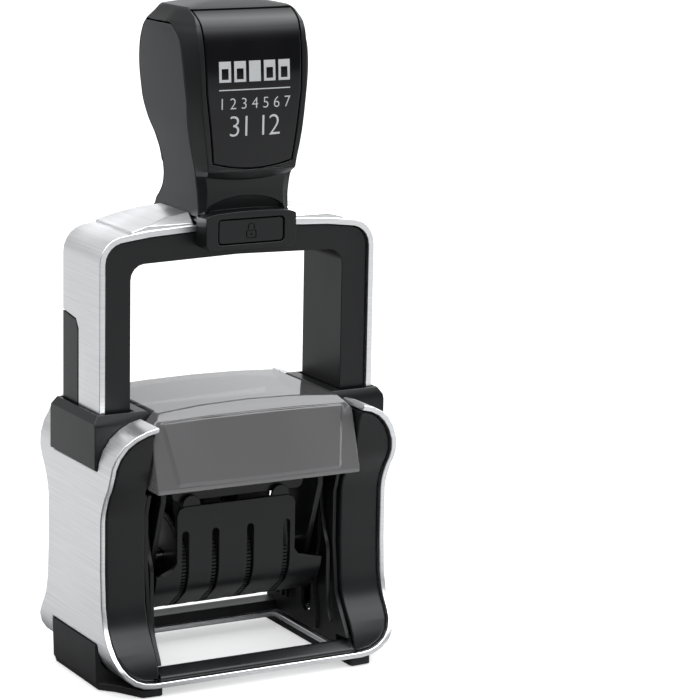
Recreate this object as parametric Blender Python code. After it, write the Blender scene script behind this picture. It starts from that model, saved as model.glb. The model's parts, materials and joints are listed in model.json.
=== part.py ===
"""Self-inking rotary date stamp: base with ink hood, sprung bow with handle, flipping date unit.

Every number below is in millimetres. Front faces -Y, +Z is up, and the origin is at the
middle of the feet's footprint. Pieces meet with a small gap, so that no two solids touch.
"""
import math

import bmesh
import bpy
from mathutils import Matrix, Vector

MM = 0.001
GAP = 0.3                      # clearance between neighbouring pieces

# Travel
STROKE = 30.0                  # how far the bow goes down
FLIP_AXIS_Z = 41.0             # turning axis of the date unit at rest

# Base
BAND_HALF = 36.8               # half-width of the metal band
BAND_WALL = 1.3
BAND_BOTTOM = 2.0
BAND_TOP = 62.5
BAND_END = 26.1                # where the band stops beside the hood
TOP_RADIUS = 12.0
BOTTOM_RADIUS = 10.0
CORNER_DEPTH = 12.3            # half-depth of the caps and feet
PRINT_HALF_X = 23.4            # print opening in the floor of the base
PRINT_HALF_Y = 15.0
WALL_IN = 23.9                 # inner face of the side walls
WALL_OUT = 24.9

# Half-depth of the base at each height: wide at the foot and the shoulder, narrow at the waist
BASE_PROFILE = [
    (2.0, 22.4), (4.0, 22.3), (6.0, 22.0), (8.0, 21.1), (10.0, 20.0), (12.0, 18.5), (14.0, 17.1),
    (16.0, 16.0), (20.0, 15.0), (28.0, 14.5), (40.0, 14.5), (42.0, 14.9), (44.0, 15.7),
    (46.0, 16.7), (48.0, 18.1), (50.0, 19.1), (52.0, 19.6), (55.0, 20.0), (58.0, 20.6),
    (60.0, 21.5), (62.5, 22.6),
]

# Hood
HOOD_WIDE = 25.8
HOOD_NARROW = 22.7
HOOD_WALL = 1.0
HOOD_BOTTOM = 46.6
HOOD_TOP = 64.9
FOOT_TOP = 10.7                # upper edge of the foot blocks

# Ink pad
PAD_HALF_X = 20.2
PAD_HALF_Y = 12.4
PAD_BOTTOM = 52.6
PAD_TOP = 57.3
TRAY_HALF_X = 21.4
TRAY_BOTTOM = 52.5
TRAY_TOP = 58.5

# Bow
BOW_HALF = 35.0
BOW_DEPTH = 10.0
BOW_WALL = 1.4
BOW_FOOT = 36.0                # lower end of the legs at rest
BOW_TOP = 105.2
LINER_IN = 27.0
LINER_DEPTH = 9.2
LINER_TOP = 97.5
LEG_MIDDLE = 30.2
SPRING_Y = 5.2
SPRING_TOP = 60.0
SPRING_FOOT = 4.2

# Handle stations, bottom to top: height, half-width at the grips, half-width of the front and
# rear faces, front face, front edge of the grip, rear edge of the grip, rear face
HANDLE = [
    (105.9, 11.35, 10.6, -15.5, -13.4, 11.5, 12.4),
    (108.5, 11.35, 10.6, -15.5, -13.4, 10.9, 12.2),
    (109.6, 11.35, 9.8, -12.6, -11.6, 9.4, 11.4),
    (111.0, 11.4, 9.5, -11.6, -10.6, 7.6, 10.2),
    (113.5, 11.6, 9.5, -11.4, -10.4, 6.0, 9.0),
    (116.4, 12.1, 9.8, -13.0, -11.4, 5.2, 8.4),
    (119.0, 12.8, 10.4, -15.3, -11.9, 4.8, 8.5),
    (123.0, 13.6, 11.0, -15.8, -11.9, 5.6, 10.0),
    (128.0, 14.5, 11.8, -16.0, -12.1, 8.8, 12.8),
    (133.0, 15.0, 12.2, -16.0, -12.5, 10.7, 14.3),
    (139.0, 15.6, 12.4, -15.8, -12.2, 10.9, 14.8),
    (145.0, 15.9, 12.6, -15.2, -11.0, 10.0, 14.3),
    (148.5, 15.8, 12.7, -14.4, -8.2, 8.6, 13.3),
    (150.2, 15.4, 12.8, -13.6, -4.0, 7.4, 12.4),
    (151.6, 14.2, 12.8, -12.2, -4.2, 6.6, 10.8),
    (152.8, 13.2, 12.7, -10.2, -4.6, 5.6, 9.0),
    (153.6, 12.2, 11.5, -7.8, -4.2, 4.6, 7.2),
    (154.4, 8.4, 7.8, -4.8, -3.0, 2.8, 4.6),
    (155.0, 3.6, 3.2, -2.0, -1.2, 1.2, 2.0),
]
GRIP_LOW = 106.6
GRIP_HIGH = 150.2
CROWN_LOW = 139.0
GRIP_WALL = 1.5
WINDOW_WALL = 1.1
CARD_WALL = 0.6
BLOCK_HALF = 11.35
BLOCK_FRONT = 15.5
BLOCK_LOW = 99.8
BLOCK_HIGH = 107.4
BLOCK_SHOULDER = 3.2           # corner taken off the top of the rear block
BUTTON_HALF = 8.1
BUTTON_LOW = 101.2
BUTTON_HIGH = 106.5

# Date unit
AXLE_Z = 26.0
AXLE_RADIUS = 1.5
HOUSING_FRONT = 12.0
HOUSING_WALL = 1.2
HOUSING_TOP = 40.5
PANEL_LEFT = -16.4             # side edges of the flat panel over the wheels
PANEL_RIGHT = 14.2
LUG_X = [-12.6, 10.4]
DRUM_HALF = 21.5
SLOT_TOP = 34.7
SLOT_HALF = 0.85
WHEEL_X = [-14.2, -6.5, 2.5, 12.0]
BAND_SPANS = [(-13.3, -8.9), (-5.6, -1.2), (3.4, 10.9), (12.9, 15.8)]
WHEEL_RADIUS = 11.3
WHEEL_TEETH = 26
TOOTH_DEPTH = 0.55
DISC_HALF = 0.55
HUB_RADIUS = 4.8
BELT_WALL = 0.8
NOSE_Z = 49.5
NOSE_RADIUS = 1.4
DIE_HALF_X = 20.5
DIE_HALF_Y = 12.0
DIE_LOW = 47.5
DIE_HIGH = 49.6
TEXT_HIGH = 52.0
APRON_Y = 9.4                  # skirt under the die plate, behind the housing's top edge
APRON_LOW = 41.4
YOKE_IN = 19.6
YOKE_OUT = 21.0
PIN_RADIUS = 2.0

COLOURS = {
    "metal": ((0.72, 0.73, 0.75), 0.32, 1.0),
    "black": ((0.035, 0.037, 0.04), 0.45, 0.0),
    "grip": ((0.075, 0.078, 0.082), 0.6, 0.0),
    "gloss": ((0.01, 0.01, 0.012), 0.12, 0.0),
    "smoke": ((0.16, 0.16, 0.165), 0.15, 0.0),
    "rubber": ((0.09, 0.09, 0.1), 0.8, 0.0),
    "card": ((0.85, 0.84, 0.8), 0.7, 0.0),
    "felt": ((0.03, 0.035, 0.12), 0.95, 0.0),
    "steel": ((0.6, 0.6, 0.62), 0.25, 1.0),
    "foot": ((0.03, 0.03, 0.032), 0.7, 0.0),
}


# ---------------------------------------------------------------- outlines

def arc(centre, radius, start, end, steps=6):
    """Points on an arc; angles in degrees."""
    points = []
    for step in range(steps + 1):
        angle = math.radians(start + (end - start) * step / steps)
        points.append((centre[0] + radius * math.cos(angle), centre[1] + radius * math.sin(angle)))
    return points


def circle(centre, radius, steps=16):
    return arc(centre, radius, 0, 360, steps)[:-1]


def rectangle(low, high):
    return [low, (high[0], low[1]), high, (low[0], high[1])]


def rounded(corners, steps=4):
    """Closed outline through corners (x, y, radius), each one rounded by its radius."""
    outline = []
    for index, (x, y, radius) in enumerate(corners):
        corner = Vector((x, y))
        if radius <= 0:
            outline.append((x, y))
            continue
        back = (Vector(corners[index - 1][:2]) - corner).normalized()
        ahead = (Vector(corners[(index + 1) % len(corners)][:2]) - corner).normalized()
        half = back.angle(ahead) / 2
        middle = corner + (back + ahead).normalized() * (radius / math.sin(half))
        first = corner + back * (radius / math.tan(half)) - middle
        last = corner + ahead * (radius / math.tan(half)) - middle
        turn = math.atan2(first.x * last.y - first.y * last.x, first.dot(last))
        for step in range(steps + 1):
            angle = turn * step / steps
            cosine, sine = math.cos(angle), math.sin(angle)
            outline.append((middle.x + first.x * cosine - first.y * sine,
                            middle.y + first.x * sine + first.y * cosine))
    return outline


def mirrored(points):
    return [(-u, v) for u, v in reversed(points)]


def offset(path, distance):
    """An open path moved sideways: to its left for a positive distance."""
    moved = []
    for index, point in enumerate(path):
        here = Vector(point)
        before = Vector(path[max(index - 1, 0)])
        after = Vector(path[min(index + 1, len(path) - 1)])
        incoming = (here - before).normalized() if index else (after - here).normalized()
        outgoing = (after - here).normalized() if index < len(path) - 1 else incoming
        normal_in = Vector((-incoming.y, incoming.x))
        normal_out = Vector((-outgoing.y, outgoing.x))
        miter = (normal_in + normal_out).normalized()
        moved.append(tuple(here + miter * (distance / max(miter.dot(normal_in), 0.3))))
    return moved


def strip(path, near, far):
    """Closed outline of a strip that runs along an open path, between two side offsets."""
    return offset(path, near) + list(reversed(offset(path, far)))


def profile_depth(height):
    """Half-depth of the base at a height."""
    for (low, low_depth), (high, high_depth) in zip(BASE_PROFILE, BASE_PROFILE[1:]):
        if low <= height <= high:
            return low_depth + (high_depth - low_depth) * (height - low) / (high - low)
    return BASE_PROFILE[0][1] if height < BASE_PROFILE[0][0] else BASE_PROFILE[-1][1]


# ---------------------------------------------------------------- building

def new_collection(name):
    collection = bpy.data.collections.new(name)
    bpy.context.scene.collection.children.link(collection)
    return collection


def add_object(name, mesh, collection):
    obj = bpy.data.objects.new(name, mesh)
    collection.objects.link(obj)
    return obj


AXIS_FRAMES = {
    "X": Matrix(((0, 0, 1), (1, 0, 0), (0, 1, 0))),
    "Y": Matrix(((1, 0, 0), (0, 0, -1), (0, 1, 0))),
    "Z": Matrix.Identity(3),
}


def plate_mesh(name, loops, axis, low, high):
    """A flat outline with holes, thickened along an axis from low to high."""
    curve = bpy.data.curves.new(name, "CURVE")
    curve.dimensions = "2D"
    curve.fill_mode = "BOTH"
    curve.extrude = (high - low) / 2 * MM
    for loop in loops:
        spline = curve.splines.new("POLY")
        spline.points.add(len(loop) - 1)
        for point, (u, v) in zip(spline.points, loop):
            point.co = (u * MM, v * MM, 0.0, 1.0)
        spline.use_cyclic_u = True
    source = bpy.data.objects.new(name, curve)
    bpy.context.scene.collection.objects.link(source)
    graph = bpy.context.evaluated_depsgraph_get()
    mesh = bpy.data.meshes.new_from_object(source.evaluated_get(graph))
    bpy.data.objects.remove(source)
    bpy.data.curves.remove(curve)
    shift = {"X": (1, 0, 0), "Y": (0, 1, 0), "Z": (0, 0, 1)}[axis]
    place = Matrix.Translation(Vector(shift) * ((low + high) / 2 * MM)) @ AXIS_FRAMES[axis].to_4x4()
    build = bmesh.new()
    build.from_mesh(mesh)
    bmesh.ops.transform(build, matrix=place, verts=build.verts)
    bmesh.ops.remove_doubles(build, verts=build.verts, dist=0.00001)
    bmesh.ops.recalc_face_normals(build, faces=build.faces)
    build.to_mesh(mesh)
    build.free()
    mesh.materials.clear()
    mesh.name = name
    return mesh


def ring_mesh(name, rings, closed=False):
    """A skin over rings of points: capped at both ends, or joined round into a loop."""
    build = bmesh.new()
    rows = [[build.verts.new([c * MM for c in point]) for point in ring] for ring in rings]
    pairs = list(zip(rows, rows[1:]))
    if closed:
        pairs.append((rows[-1], rows[0]))
    for lower, upper in pairs:
        for index in range(len(lower)):
            following = (index + 1) % len(lower)
            build.faces.new((lower[index], lower[following], upper[following], upper[index]))
    if not closed:
        build.faces.new(list(reversed(rows[0])))
        build.faces.new(rows[-1])
    bmesh.ops.recalc_face_normals(build, faces=build.faces)
    mesh = bpy.data.meshes.new(name)
    build.to_mesh(mesh)
    build.free()
    return mesh


class Model:
    """The collections and materials that the pieces go into."""

    def __init__(self):
        self.parts = new_collection("rotary_date_stamp")
        self.cutters = new_collection("cutters")
        self.materials = {}
        self.axes = {}

    def material(self, name):
        if name not in self.materials:
            colour, roughness, metallic = COLOURS[name]
            material = bpy.data.materials.new(name)
            material.use_nodes = True
            shader = material.node_tree.nodes["Principled BSDF"]
            shader.inputs["Base Color"].default_value = (*colour, 1.0)
            shader.inputs["Roughness"].default_value = roughness
            shader.inputs["Metallic"].default_value = metallic
            self.materials[name] = material
        return self.materials[name]

    def axis(self, name, place, parent=None):
        """An empty that stands on a joint's axis."""
        empty = add_object(name, None, self.parts)
        empty.empty_display_size = 0.005
        world = Matrix.Translation(Vector(place) * MM)
        self.hang(empty, parent)
        empty.matrix_basis = world
        self.axes[name] = world
        return empty

    def hang(self, obj, parent):
        if parent is not None:
            obj.parent = parent
            obj.matrix_parent_inverse = self.axes[parent.name].inverted()

    def piece(self, name, mesh, material, parent=None):
        obj = add_object(name, mesh, self.parts)
        obj.data.materials.append(self.material(material))
        self.hang(obj, parent)
        return obj

    def plate(self, name, loops, axis, low, high, material, parent=None):
        return self.piece(name, plate_mesh(name, loops, axis, low, high), material, parent)

    def cutter(self, name, mesh):
        obj = add_object(name, mesh, self.cutters)
        obj.hide_render = True
        obj.display_type = "WIRE"
        return obj

    def cut_plate(self, name, loops, axis, low, high):
        return self.cutter(name, plate_mesh(name, loops, axis, low, high))

    def box(self, name, low, high):
        """A box-shaped cutter between two corners."""
        return self.cut_plate(name, [rectangle(low[:2], high[:2])], "Z", low[2], high[2])


def combine(obj, other, operation="DIFFERENCE"):
    modifier = obj.modifiers.new(other.name, "BOOLEAN")
    modifier.operation = operation
    modifier.solver = "EXACT"
    modifier.object = other


def smooth(obj, angle=35):
    obj.data.shade_smooth()
    obj.data.set_sharp_from_angle(angle=math.radians(angle))


# ---------------------------------------------------------------- base

def ring_path():
    """Outer line of the base band, from one end over the floor to the other."""
    right = arc((BAND_HALF - TOP_RADIUS, BAND_TOP - TOP_RADIUS), TOP_RADIUS, 84, 0, 6)
    right[0] = (BAND_END, BAND_TOP)
    right += arc((BAND_HALF - BOTTOM_RADIUS, BAND_BOTTOM + BOTTOM_RADIUS), BOTTOM_RADIUS, 0, -90, 6)
    return right + mirrored(right)


def base_side_outline(inset=0.0):
    """Side view of the base, drawn in from its edges by an inset."""
    front = [(-(depth - inset), height) for height, depth in BASE_PROFILE]
    return front + [(-depth, height) for depth, height in reversed(front)]


def build_base(model):
    band = model.plate("base_band", [strip(ring_path(), 0.0, -BAND_WALL)], "Y", -24, 24, "metal")
    combine(band, model.cut_plate("side_view", [base_side_outline()], "X", -40, 40), "INTERSECT")
    half_x, half_y = PRINT_HALF_X, PRINT_HALF_Y
    combine(band, model.box("print_opening", (-half_x, -half_y, 0), (half_x, half_y, 6)))
    depth = CORNER_DEPTH + GAP
    for side in (-1, 1):
        near, far = sorted((side * 22.0, side * 40.0))
        combine(band, model.box("cap_notch", (near, -depth, 51.3), (far, depth, 70)))
        near, far = sorted((side * 25.5, side * 40.0))
        combine(band, model.box("foot_notch", (near, -depth, 0), (far, depth, FOOT_TOP + GAP)))
    smooth(band)
    for name, facing in (("front_frame", -1), ("rear_frame", 1)):
        build_frame(model, name, facing)
    for name, side in (("left", -1), ("right", 1)):
        build_side(model, name, side)


def column_outline(side):
    """Front view of one column of a frame, inside the band."""
    inset = BAND_WALL + GAP
    outer = BAND_HALF - inset
    low = BAND_BOTTOM + inset
    high = BAND_TOP - inset
    line = [(WALL_OUT + GAP, low)]
    line += arc((BAND_HALF - BOTTOM_RADIUS, BAND_BOTTOM + BOTTOM_RADIUS), BOTTOM_RADIUS - inset, -90, 0, 5)
    line += arc((outer - TOP_RADIUS + inset, high - TOP_RADIUS + inset), TOP_RADIUS - inset, 0, 80, 5)
    line += [(BAND_END, high), (BAND_END, 46.0), (WALL_OUT + GAP, 44.5)]
    return line if side > 0 else mirrored(line)


def build_frame(model, name, facing):
    """Black moulding that fills the band's front or rear: two columns and a sill."""
    near, far = sorted((facing * 10.8, facing * 24.0))
    frame = model.plate(name, [column_outline(1)], "Y", near, far, "black")
    combine(frame, model.cut_plate(name + "_other", [column_outline(-1)], "Y", near, far), "UNION")
    view = model.cut_plate(name + "_view", [base_side_outline(0.7)], "X", -40, 40)
    combine(frame, view, "INTERSECT")
    low = BAND_BOTTOM + BAND_WALL + GAP
    sill = [(21.6, low), (21.5, low + 0.5), (18.2, 5.8), (15.4, 4.5), (15.4, low)]
    sill = [(facing * y, z) for y, z in sill]
    combine(frame, model.cut_plate(name + "_sill", [sill], "X", -25.6, 25.6), "UNION")
    depth = CORNER_DEPTH + GAP
    for side in (-1, 1):
        near, far = sorted((side * 22.0, side * 40.0))
        combine(frame, model.box(name + "_cap_room", (near, -depth, 47.5), (far, depth, 70)))
        combine(frame, model.box(name + "_foot_room", (near, -depth, 0), (far, depth, 6.5)))
    smooth(frame)


def build_side(model, name, side):
    """Inner wall, corner cap, foot, pad rail and spring post of one side."""
    def span(near, far):
        return sorted((side * near, side * far))

    def across(points):
        return points if side > 0 else mirrored(points)

    front = [(-15.0, 4.0), (-15.0, 6.1)]
    front += [(-(profile_depth(z) - 2.0), z) for z in (6.4, 8.0, 12.0, 16.0, 28.0, 40.0, 44.8)]
    outline = front + [(-y, z) for y, z in reversed(front)]
    slot = rounded([(-2.3, 7.6, 2.2), (2.3, 7.6, 2.2), (2.3, 44.0, 2.2), (-2.3, 44.0, 2.2)])
    wall = model.plate("side_wall_" + name, [outline, slot], "X", *span(WALL_IN, WALL_OUT), "black")
    rib_path = [(-6.4, 43.0), (-6.4, 26.0), (-4.6, 21.0), (-4.6, 14.0), (-6.0, 9.5), (-6.0, 5.0)]
    rib = model.cut_plate("rib_" + name, [strip(rib_path, 0.45, -0.45)], "X", *span(23.2, 24.4))
    combine(wall, rib, "UNION")

    cap_line = [(25.6, 48.6), (25.6, 58.6), (23.2, 60.2), (23.2, 63.1), (23.8, 63.7), (36.0, 63.7),
                (37.2, 62.0), (37.2, 51.6), (35.1, 51.6), (35.1, 48.6)]
    cap = model.plate("corner_cap_" + name, [across(cap_line)], "Y", -CORNER_DEPTH, CORNER_DEPTH, "black")
    near, far = span(LINER_IN - 0.4, BOW_HALF + 0.45)
    room = BOW_DEPTH + 0.45
    combine(cap, model.box("leg_room_" + name, (near, -room, 40), (far, room, 70)))
    near, far = span(22.0, 40.0)
    view = rounded([(-CORNER_DEPTH, 44, 0), (CORNER_DEPTH, 44, 0), (CORNER_DEPTH, 61.0, 0),
                    (CORNER_DEPTH - 1.3, 63.9, 0), (1.3 - CORNER_DEPTH, 63.9, 0), (-CORNER_DEPTH, 61.0, 0)])
    combine(cap, model.cut_plate("cap_view_" + name, [view], "X", near, far), "INTERSECT")

    build_foot(model, name, across)
    rail = across(rectangle((20.9, 50.9), (25.3, 52.2)))
    model.plate("pad_rail_" + name, [rail], "Y", -11.8, 11.8, "black")
    centre = (side * LEG_MIDDLE, SPRING_Y)
    model.plate("spring_post_" + name, [circle(centre, 0.9, 12)], "Z", SPRING_FOOT - 0.4, 14.0, "steel")


def build_foot(model, name, across):
    """Foot moulding: a runner under the floor of the base and a block in the lower corner."""
    runner = [(24.3, -21.7, 0.8), (29.4, -21.4, 1.0), (33.1, -15.0, 0), (36.0, -11.8, 0),
              (36.0, 11.8, 0), (33.1, 15.0, 0), (29.4, 21.4, 1.0), (24.3, 21.7, 0.8)]
    foot = model.plate("foot_" + name, [across(rounded(runner, 3))], "Z", 0.0, 1.7, "foot")
    block = [(25.8, 0.6), (36.0, 0.6), (36.6, 1.6), (36.9, FOOT_TOP), (35.5, FOOT_TOP),
             (35.3, 6.2), (33.4, 3.7), (25.8, 3.7)]
    low, high = -CORNER_DEPTH + 0.4, CORNER_DEPTH - 0.4
    combine(foot, model.cut_plate("foot_block_" + name, [across(block)], "Y", low, high), "UNION")


def hood_outline(wide, top, bottom, shoulder):
    """Front view of the hood: flat sides, sloped shoulders and a slightly arched top."""
    right = [(wide, bottom), (wide, shoulder), (wide - 2.8, top - 1.0), (12.0, top - 0.25)]
    crown = [(0.0, top)]
    return right + crown + mirrored(right)


def hood_side_view(inset):
    """Side view of the hood: front and rear lean in towards a flat top."""
    front = [(-21.5 + inset, HOOD_BOTTOM - 3), (-21.5 + inset, HOOD_BOTTOM + 1.2),
             (-17.0 + inset, 62.4 - inset * 0.5), (-15.0 + inset, 64.0 - inset), (-13.0, 66.0 - inset)]
    return front + [(-y, z) for y, z in reversed(front)]


def build_hood(model):
    front_view = hood_outline(HOOD_WIDE, HOOD_TOP, HOOD_BOTTOM, 60.9)
    hood = model.plate("hood", [front_view], "Y", -24, 24, "smoke")
    combine(hood, model.cut_plate("hood_view", [hood_side_view(0.0)], "X", -30, 30), "INTERSECT")
    depth = CORNER_DEPTH + GAP
    for side in (-1, 1):
        near, far = sorted((side * HOOD_NARROW, side * 40.0))
        combine(hood, model.box("hood_notch", (near, -depth, 40), (far, depth, 70)))
    inner = HOOD_NARROW - HOOD_WALL
    cavity = model.cut_plate("hood_room", [hood_outline(inner, HOOD_TOP - HOOD_WALL, 40, 62.2)], "Y", -24, 24)
    for facing in (-1, 1):
        wing = hood_outline(HOOD_WIDE - HOOD_WALL, 60.5, 39, 58.0)
        span = sorted((facing * (depth + HOOD_WALL), facing * 26.0))
        combine(cavity, model.cut_plate("hood_wing", [wing], "Y", *span), "UNION")
    combine(cavity, model.cut_plate("hood_room_view", [hood_side_view(HOOD_WALL)], "X", -30, 30), "INTERSECT")
    combine(hood, cavity)
    side_room = depth - 0.5
    combine(hood, model.box("hood_ends", (-24, -side_room, 38), (24, side_room, 52.5)))
    combine(hood, model.box("pad_door", (-inner - 0.2, 15, 37), (inner + 0.2, 30, 59.4)))
    smooth(hood)


def build_pad(model):
    """Ink pad in its slide-out tray, which leaves through the rear of the hood."""
    slide = model.axis("pad_slide_axis", (0, 0, TRAY_BOTTOM))
    body = rectangle((-TRAY_HALF_X, -13.6), (TRAY_HALF_X, 14.6))
    tray = model.plate("ink_pad_tray", [body], "Z", TRAY_BOTTOM, TRAY_TOP, "black", slide)
    half_x, half_y = PAD_HALF_X + GAP, PAD_HALF_Y + GAP
    combine(tray, model.box("pad_room", (-half_x, -half_y, 50), (half_x, half_y, PAD_TOP + GAP)))
    tab = rounded([(-8, 14, 0), (8, 14, 0), (8, 18.6, 1.5), (-8, 18.6, 1.5)])
    combine(tray, model.cut_plate("tray_tab", [tab], "Z", 54.0, 57.0), "UNION")
    pad = rounded([(-PAD_HALF_X, -PAD_HALF_Y, 1), (PAD_HALF_X, -PAD_HALF_Y, 1),
                   (PAD_HALF_X, PAD_HALF_Y, 1), (-PAD_HALF_X, PAD_HALF_Y, 1)], 2)
    model.plate("ink_pad", [pad], "Z", PAD_BOTTOM, PAD_TOP, "felt", slide)


# ---------------------------------------------------------------- bow

def bow_path():
    """Outer line of the bow, from the left leg's foot over the top to the right leg's foot."""
    right = [(0.0, BOW_TOP), (11.0, BOW_TOP - 0.2), (22.7, BOW_TOP - 0.8), (28.6, BOW_TOP - 1.5)]
    right += arc((28.9, 97.5), 6.1, 78, 0, 5)
    right += [(BOW_HALF, BOW_FOOT)]
    return mirrored(right) + right[1:]


def liner_outline():
    inner = [(LINER_IN, BOW_FOOT)] + arc((LINER_IN - 3.5, LINER_TOP - 4.1), 3.5, 0, 86, 4)
    inner += [(0.0, LINER_TOP)]
    inner += mirrored(inner[:-1])
    return offset(bow_path(), -BOW_WALL - GAP) + inner


def build_bow(model, press):
    bent = strip(bow_path(), 0.0, -BOW_WALL)
    band = model.plate("bow_band", [bent], "Y", -BOW_DEPTH, BOW_DEPTH, "metal", press)
    liner = model.plate("bow_liner", [liner_outline()], "Y", -LINER_DEPTH, LINER_DEPTH, "black", press)
    for name, side in (("left", -1), ("right", 1)):
        build_ramp(model, band, name, side)
        near, far = sorted((side * 33.0, side * 40.0))
        notch = [(1.4, 30), (12, 30), (12, 84.6), (2.8, 83.3), (1.4, 81.2)]
        combine(band, model.cut_plate("strip_notch_" + name, [notch], "X", near, far))
        near, far = sorted((side * (BOW_HALF - BOW_WALL), side * (BOW_HALF + 0.05)))
        leaf = [(1.7, BOW_FOOT), (9.9, BOW_FOOT), (9.9, 84.0), (3.0, 83.0), (1.7, 81.1)]
        model.plate("leg_strip_" + name, [leaf], "X", near, far, "black", press)
        bore = circle((side * LEG_MIDDLE, SPRING_Y), 2.7, 16)
        combine(liner, model.cut_plate("spring_bore_" + name, [bore], "Z", 30, SPRING_TOP + GAP))
        near, far = sorted((side * 26.0, side * 29.6))
        pin_bore = circle((0, FLIP_AXIS_Z), PIN_RADIUS + GAP, 16)
        combine(liner, model.cut_plate("pin_bore_" + name, [pin_bore], "X", near, far))
        build_spring(model, name, side)
    smooth(band)
    smooth(liner)


def build_ramp(model, band, name, side):
    """Raised shoulder on the bow's top, running up to the handle."""
    outline = [(11.75, 104.6), (11.75, 107.6), (18.0, 106.9), (27.0, 104.4), (27.0, 103.2)]
    outline = outline if side > 0 else mirrored(outline)
    ramp = model.cut_plate("ramp_" + name, [outline], "Y", -9.6, 9.6)
    near, far = sorted((side * 8.0, side * 30.0))
    view = [(-9.6, 102), (9.6, 102), (9.6, 105.4), (6.4, 108.2), (-6.4, 108.2), (-9.6, 105.4)]
    combine(ramp, model.cut_plate("ramp_view_" + name, [view], "X", near, far), "INTERSECT")
    combine(band, ramp, "UNION")


def build_spring(model, name, side):
    """Return spring between the base and the bore of the leg."""
    turns, per_turn, radius, wire = 9, 9, 1.75, 0.32
    curve = bpy.data.curves.new("return_spring_" + name, "CURVE")
    curve.dimensions = "3D"
    curve.bevel_depth = wire * MM
    curve.bevel_resolution = 1
    curve.use_fill_caps = True
    spline = curve.splines.new("POLY")
    count = turns * per_turn + 1
    spline.points.add(count - 1)
    low, high = SPRING_FOOT + wire, SPRING_TOP - wire
    for index, point in enumerate(spline.points):
        angle = math.tau * index / per_turn
        x = side * LEG_MIDDLE + radius * math.cos(angle)
        y = SPRING_Y + radius * math.sin(angle)
        point.co = (x * MM, y * MM, (low + (high - low) * index / (count - 1)) * MM, 1.0)
    obj = add_object("return_spring_" + name, curve, model.parts)
    curve.materials.append(model.material("steel"))
    return obj


# ---------------------------------------------------------------- handle

def handle_ring(station, inset):
    """One level of the handle: four faces with chamfered corners, drawn in by an inset."""
    height, side, face, front, front_edge, rear_edge, rear = station
    half = side - inset
    inner = min(face, half - 0.2)
    front, rear = front + inset, rear - inset
    front_edge = max(front_edge, front + 0.2)
    rear_edge = min(rear_edge, rear - 0.2)
    swell = 0.35
    right = [(0.0, front - swell), (inner, front), (half, front_edge),
             (half + swell, (front_edge + rear_edge) / 2), (half, rear_edge), (inner, rear)]
    ring = right + [(0.0, rear + swell)] + [(-x, y) for x, y in reversed(right[1:])]
    return [(x, y, height) for x, y in ring]


def crown_share(height):
    """How much of an inset goes down at a height: none below the crown, all of it at the top."""
    return min(max((height - CROWN_LOW) / (GRIP_HIGH - CROWN_LOW), 0.0), 1.0)


def handle_mesh(name, inset=0.0):
    stations = [station for station in HANDLE if inset == 0.0 or station[0] < HANDLE[-2][0]]
    rings = [handle_ring(station, inset) for station in stations]
    if inset:
        rings = [[(x, y, z - inset * crown_share(z)) for x, y, z in ring] for ring in rings]
        rings[0] = [(x, y, z - 3.0) for x, y, z in rings[0]]
    return ring_mesh(name, rings)


def grip_outline(margin):
    """Side view of a grip: it fills the flat side of the handle, less a margin."""
    levels = [station for station in HANDLE if GRIP_LOW < station[0] <= GRIP_HIGH]
    front = [(HANDLE[0][4] + margin, GRIP_LOW + margin)]
    front += [(station[4] + margin, station[0] - margin) for station in levels]
    rear = [(HANDLE[0][5] - margin, GRIP_LOW + margin)]
    rear += [(station[5] - margin, station[0] - margin) for station in levels]
    return front + list(reversed(rear))


def window_outline(margin):
    """Front view of the window, less a margin: bowed lower edge and a wider top."""
    right = [(0.0, 117.9 + margin), (6.0, 118.3 + margin), (10.1 - margin, 119.3 + margin),
             (12.0 - margin, 135.0), (12.35 - margin, 149.5), (12.5 - margin, 152.5 - margin)]
    return right + mirrored(right[1:])


def button_outline(margin, radius):
    """Front view of a lock button, or of its room with a margin round it."""
    half, low, high = BUTTON_HALF + margin, BUTTON_LOW - margin, BUTTON_HIGH + margin
    corners = [(-half, low, radius), (half, low, radius), (half, high, radius), (-half, high, radius)]
    return rounded(corners, 3)


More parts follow.
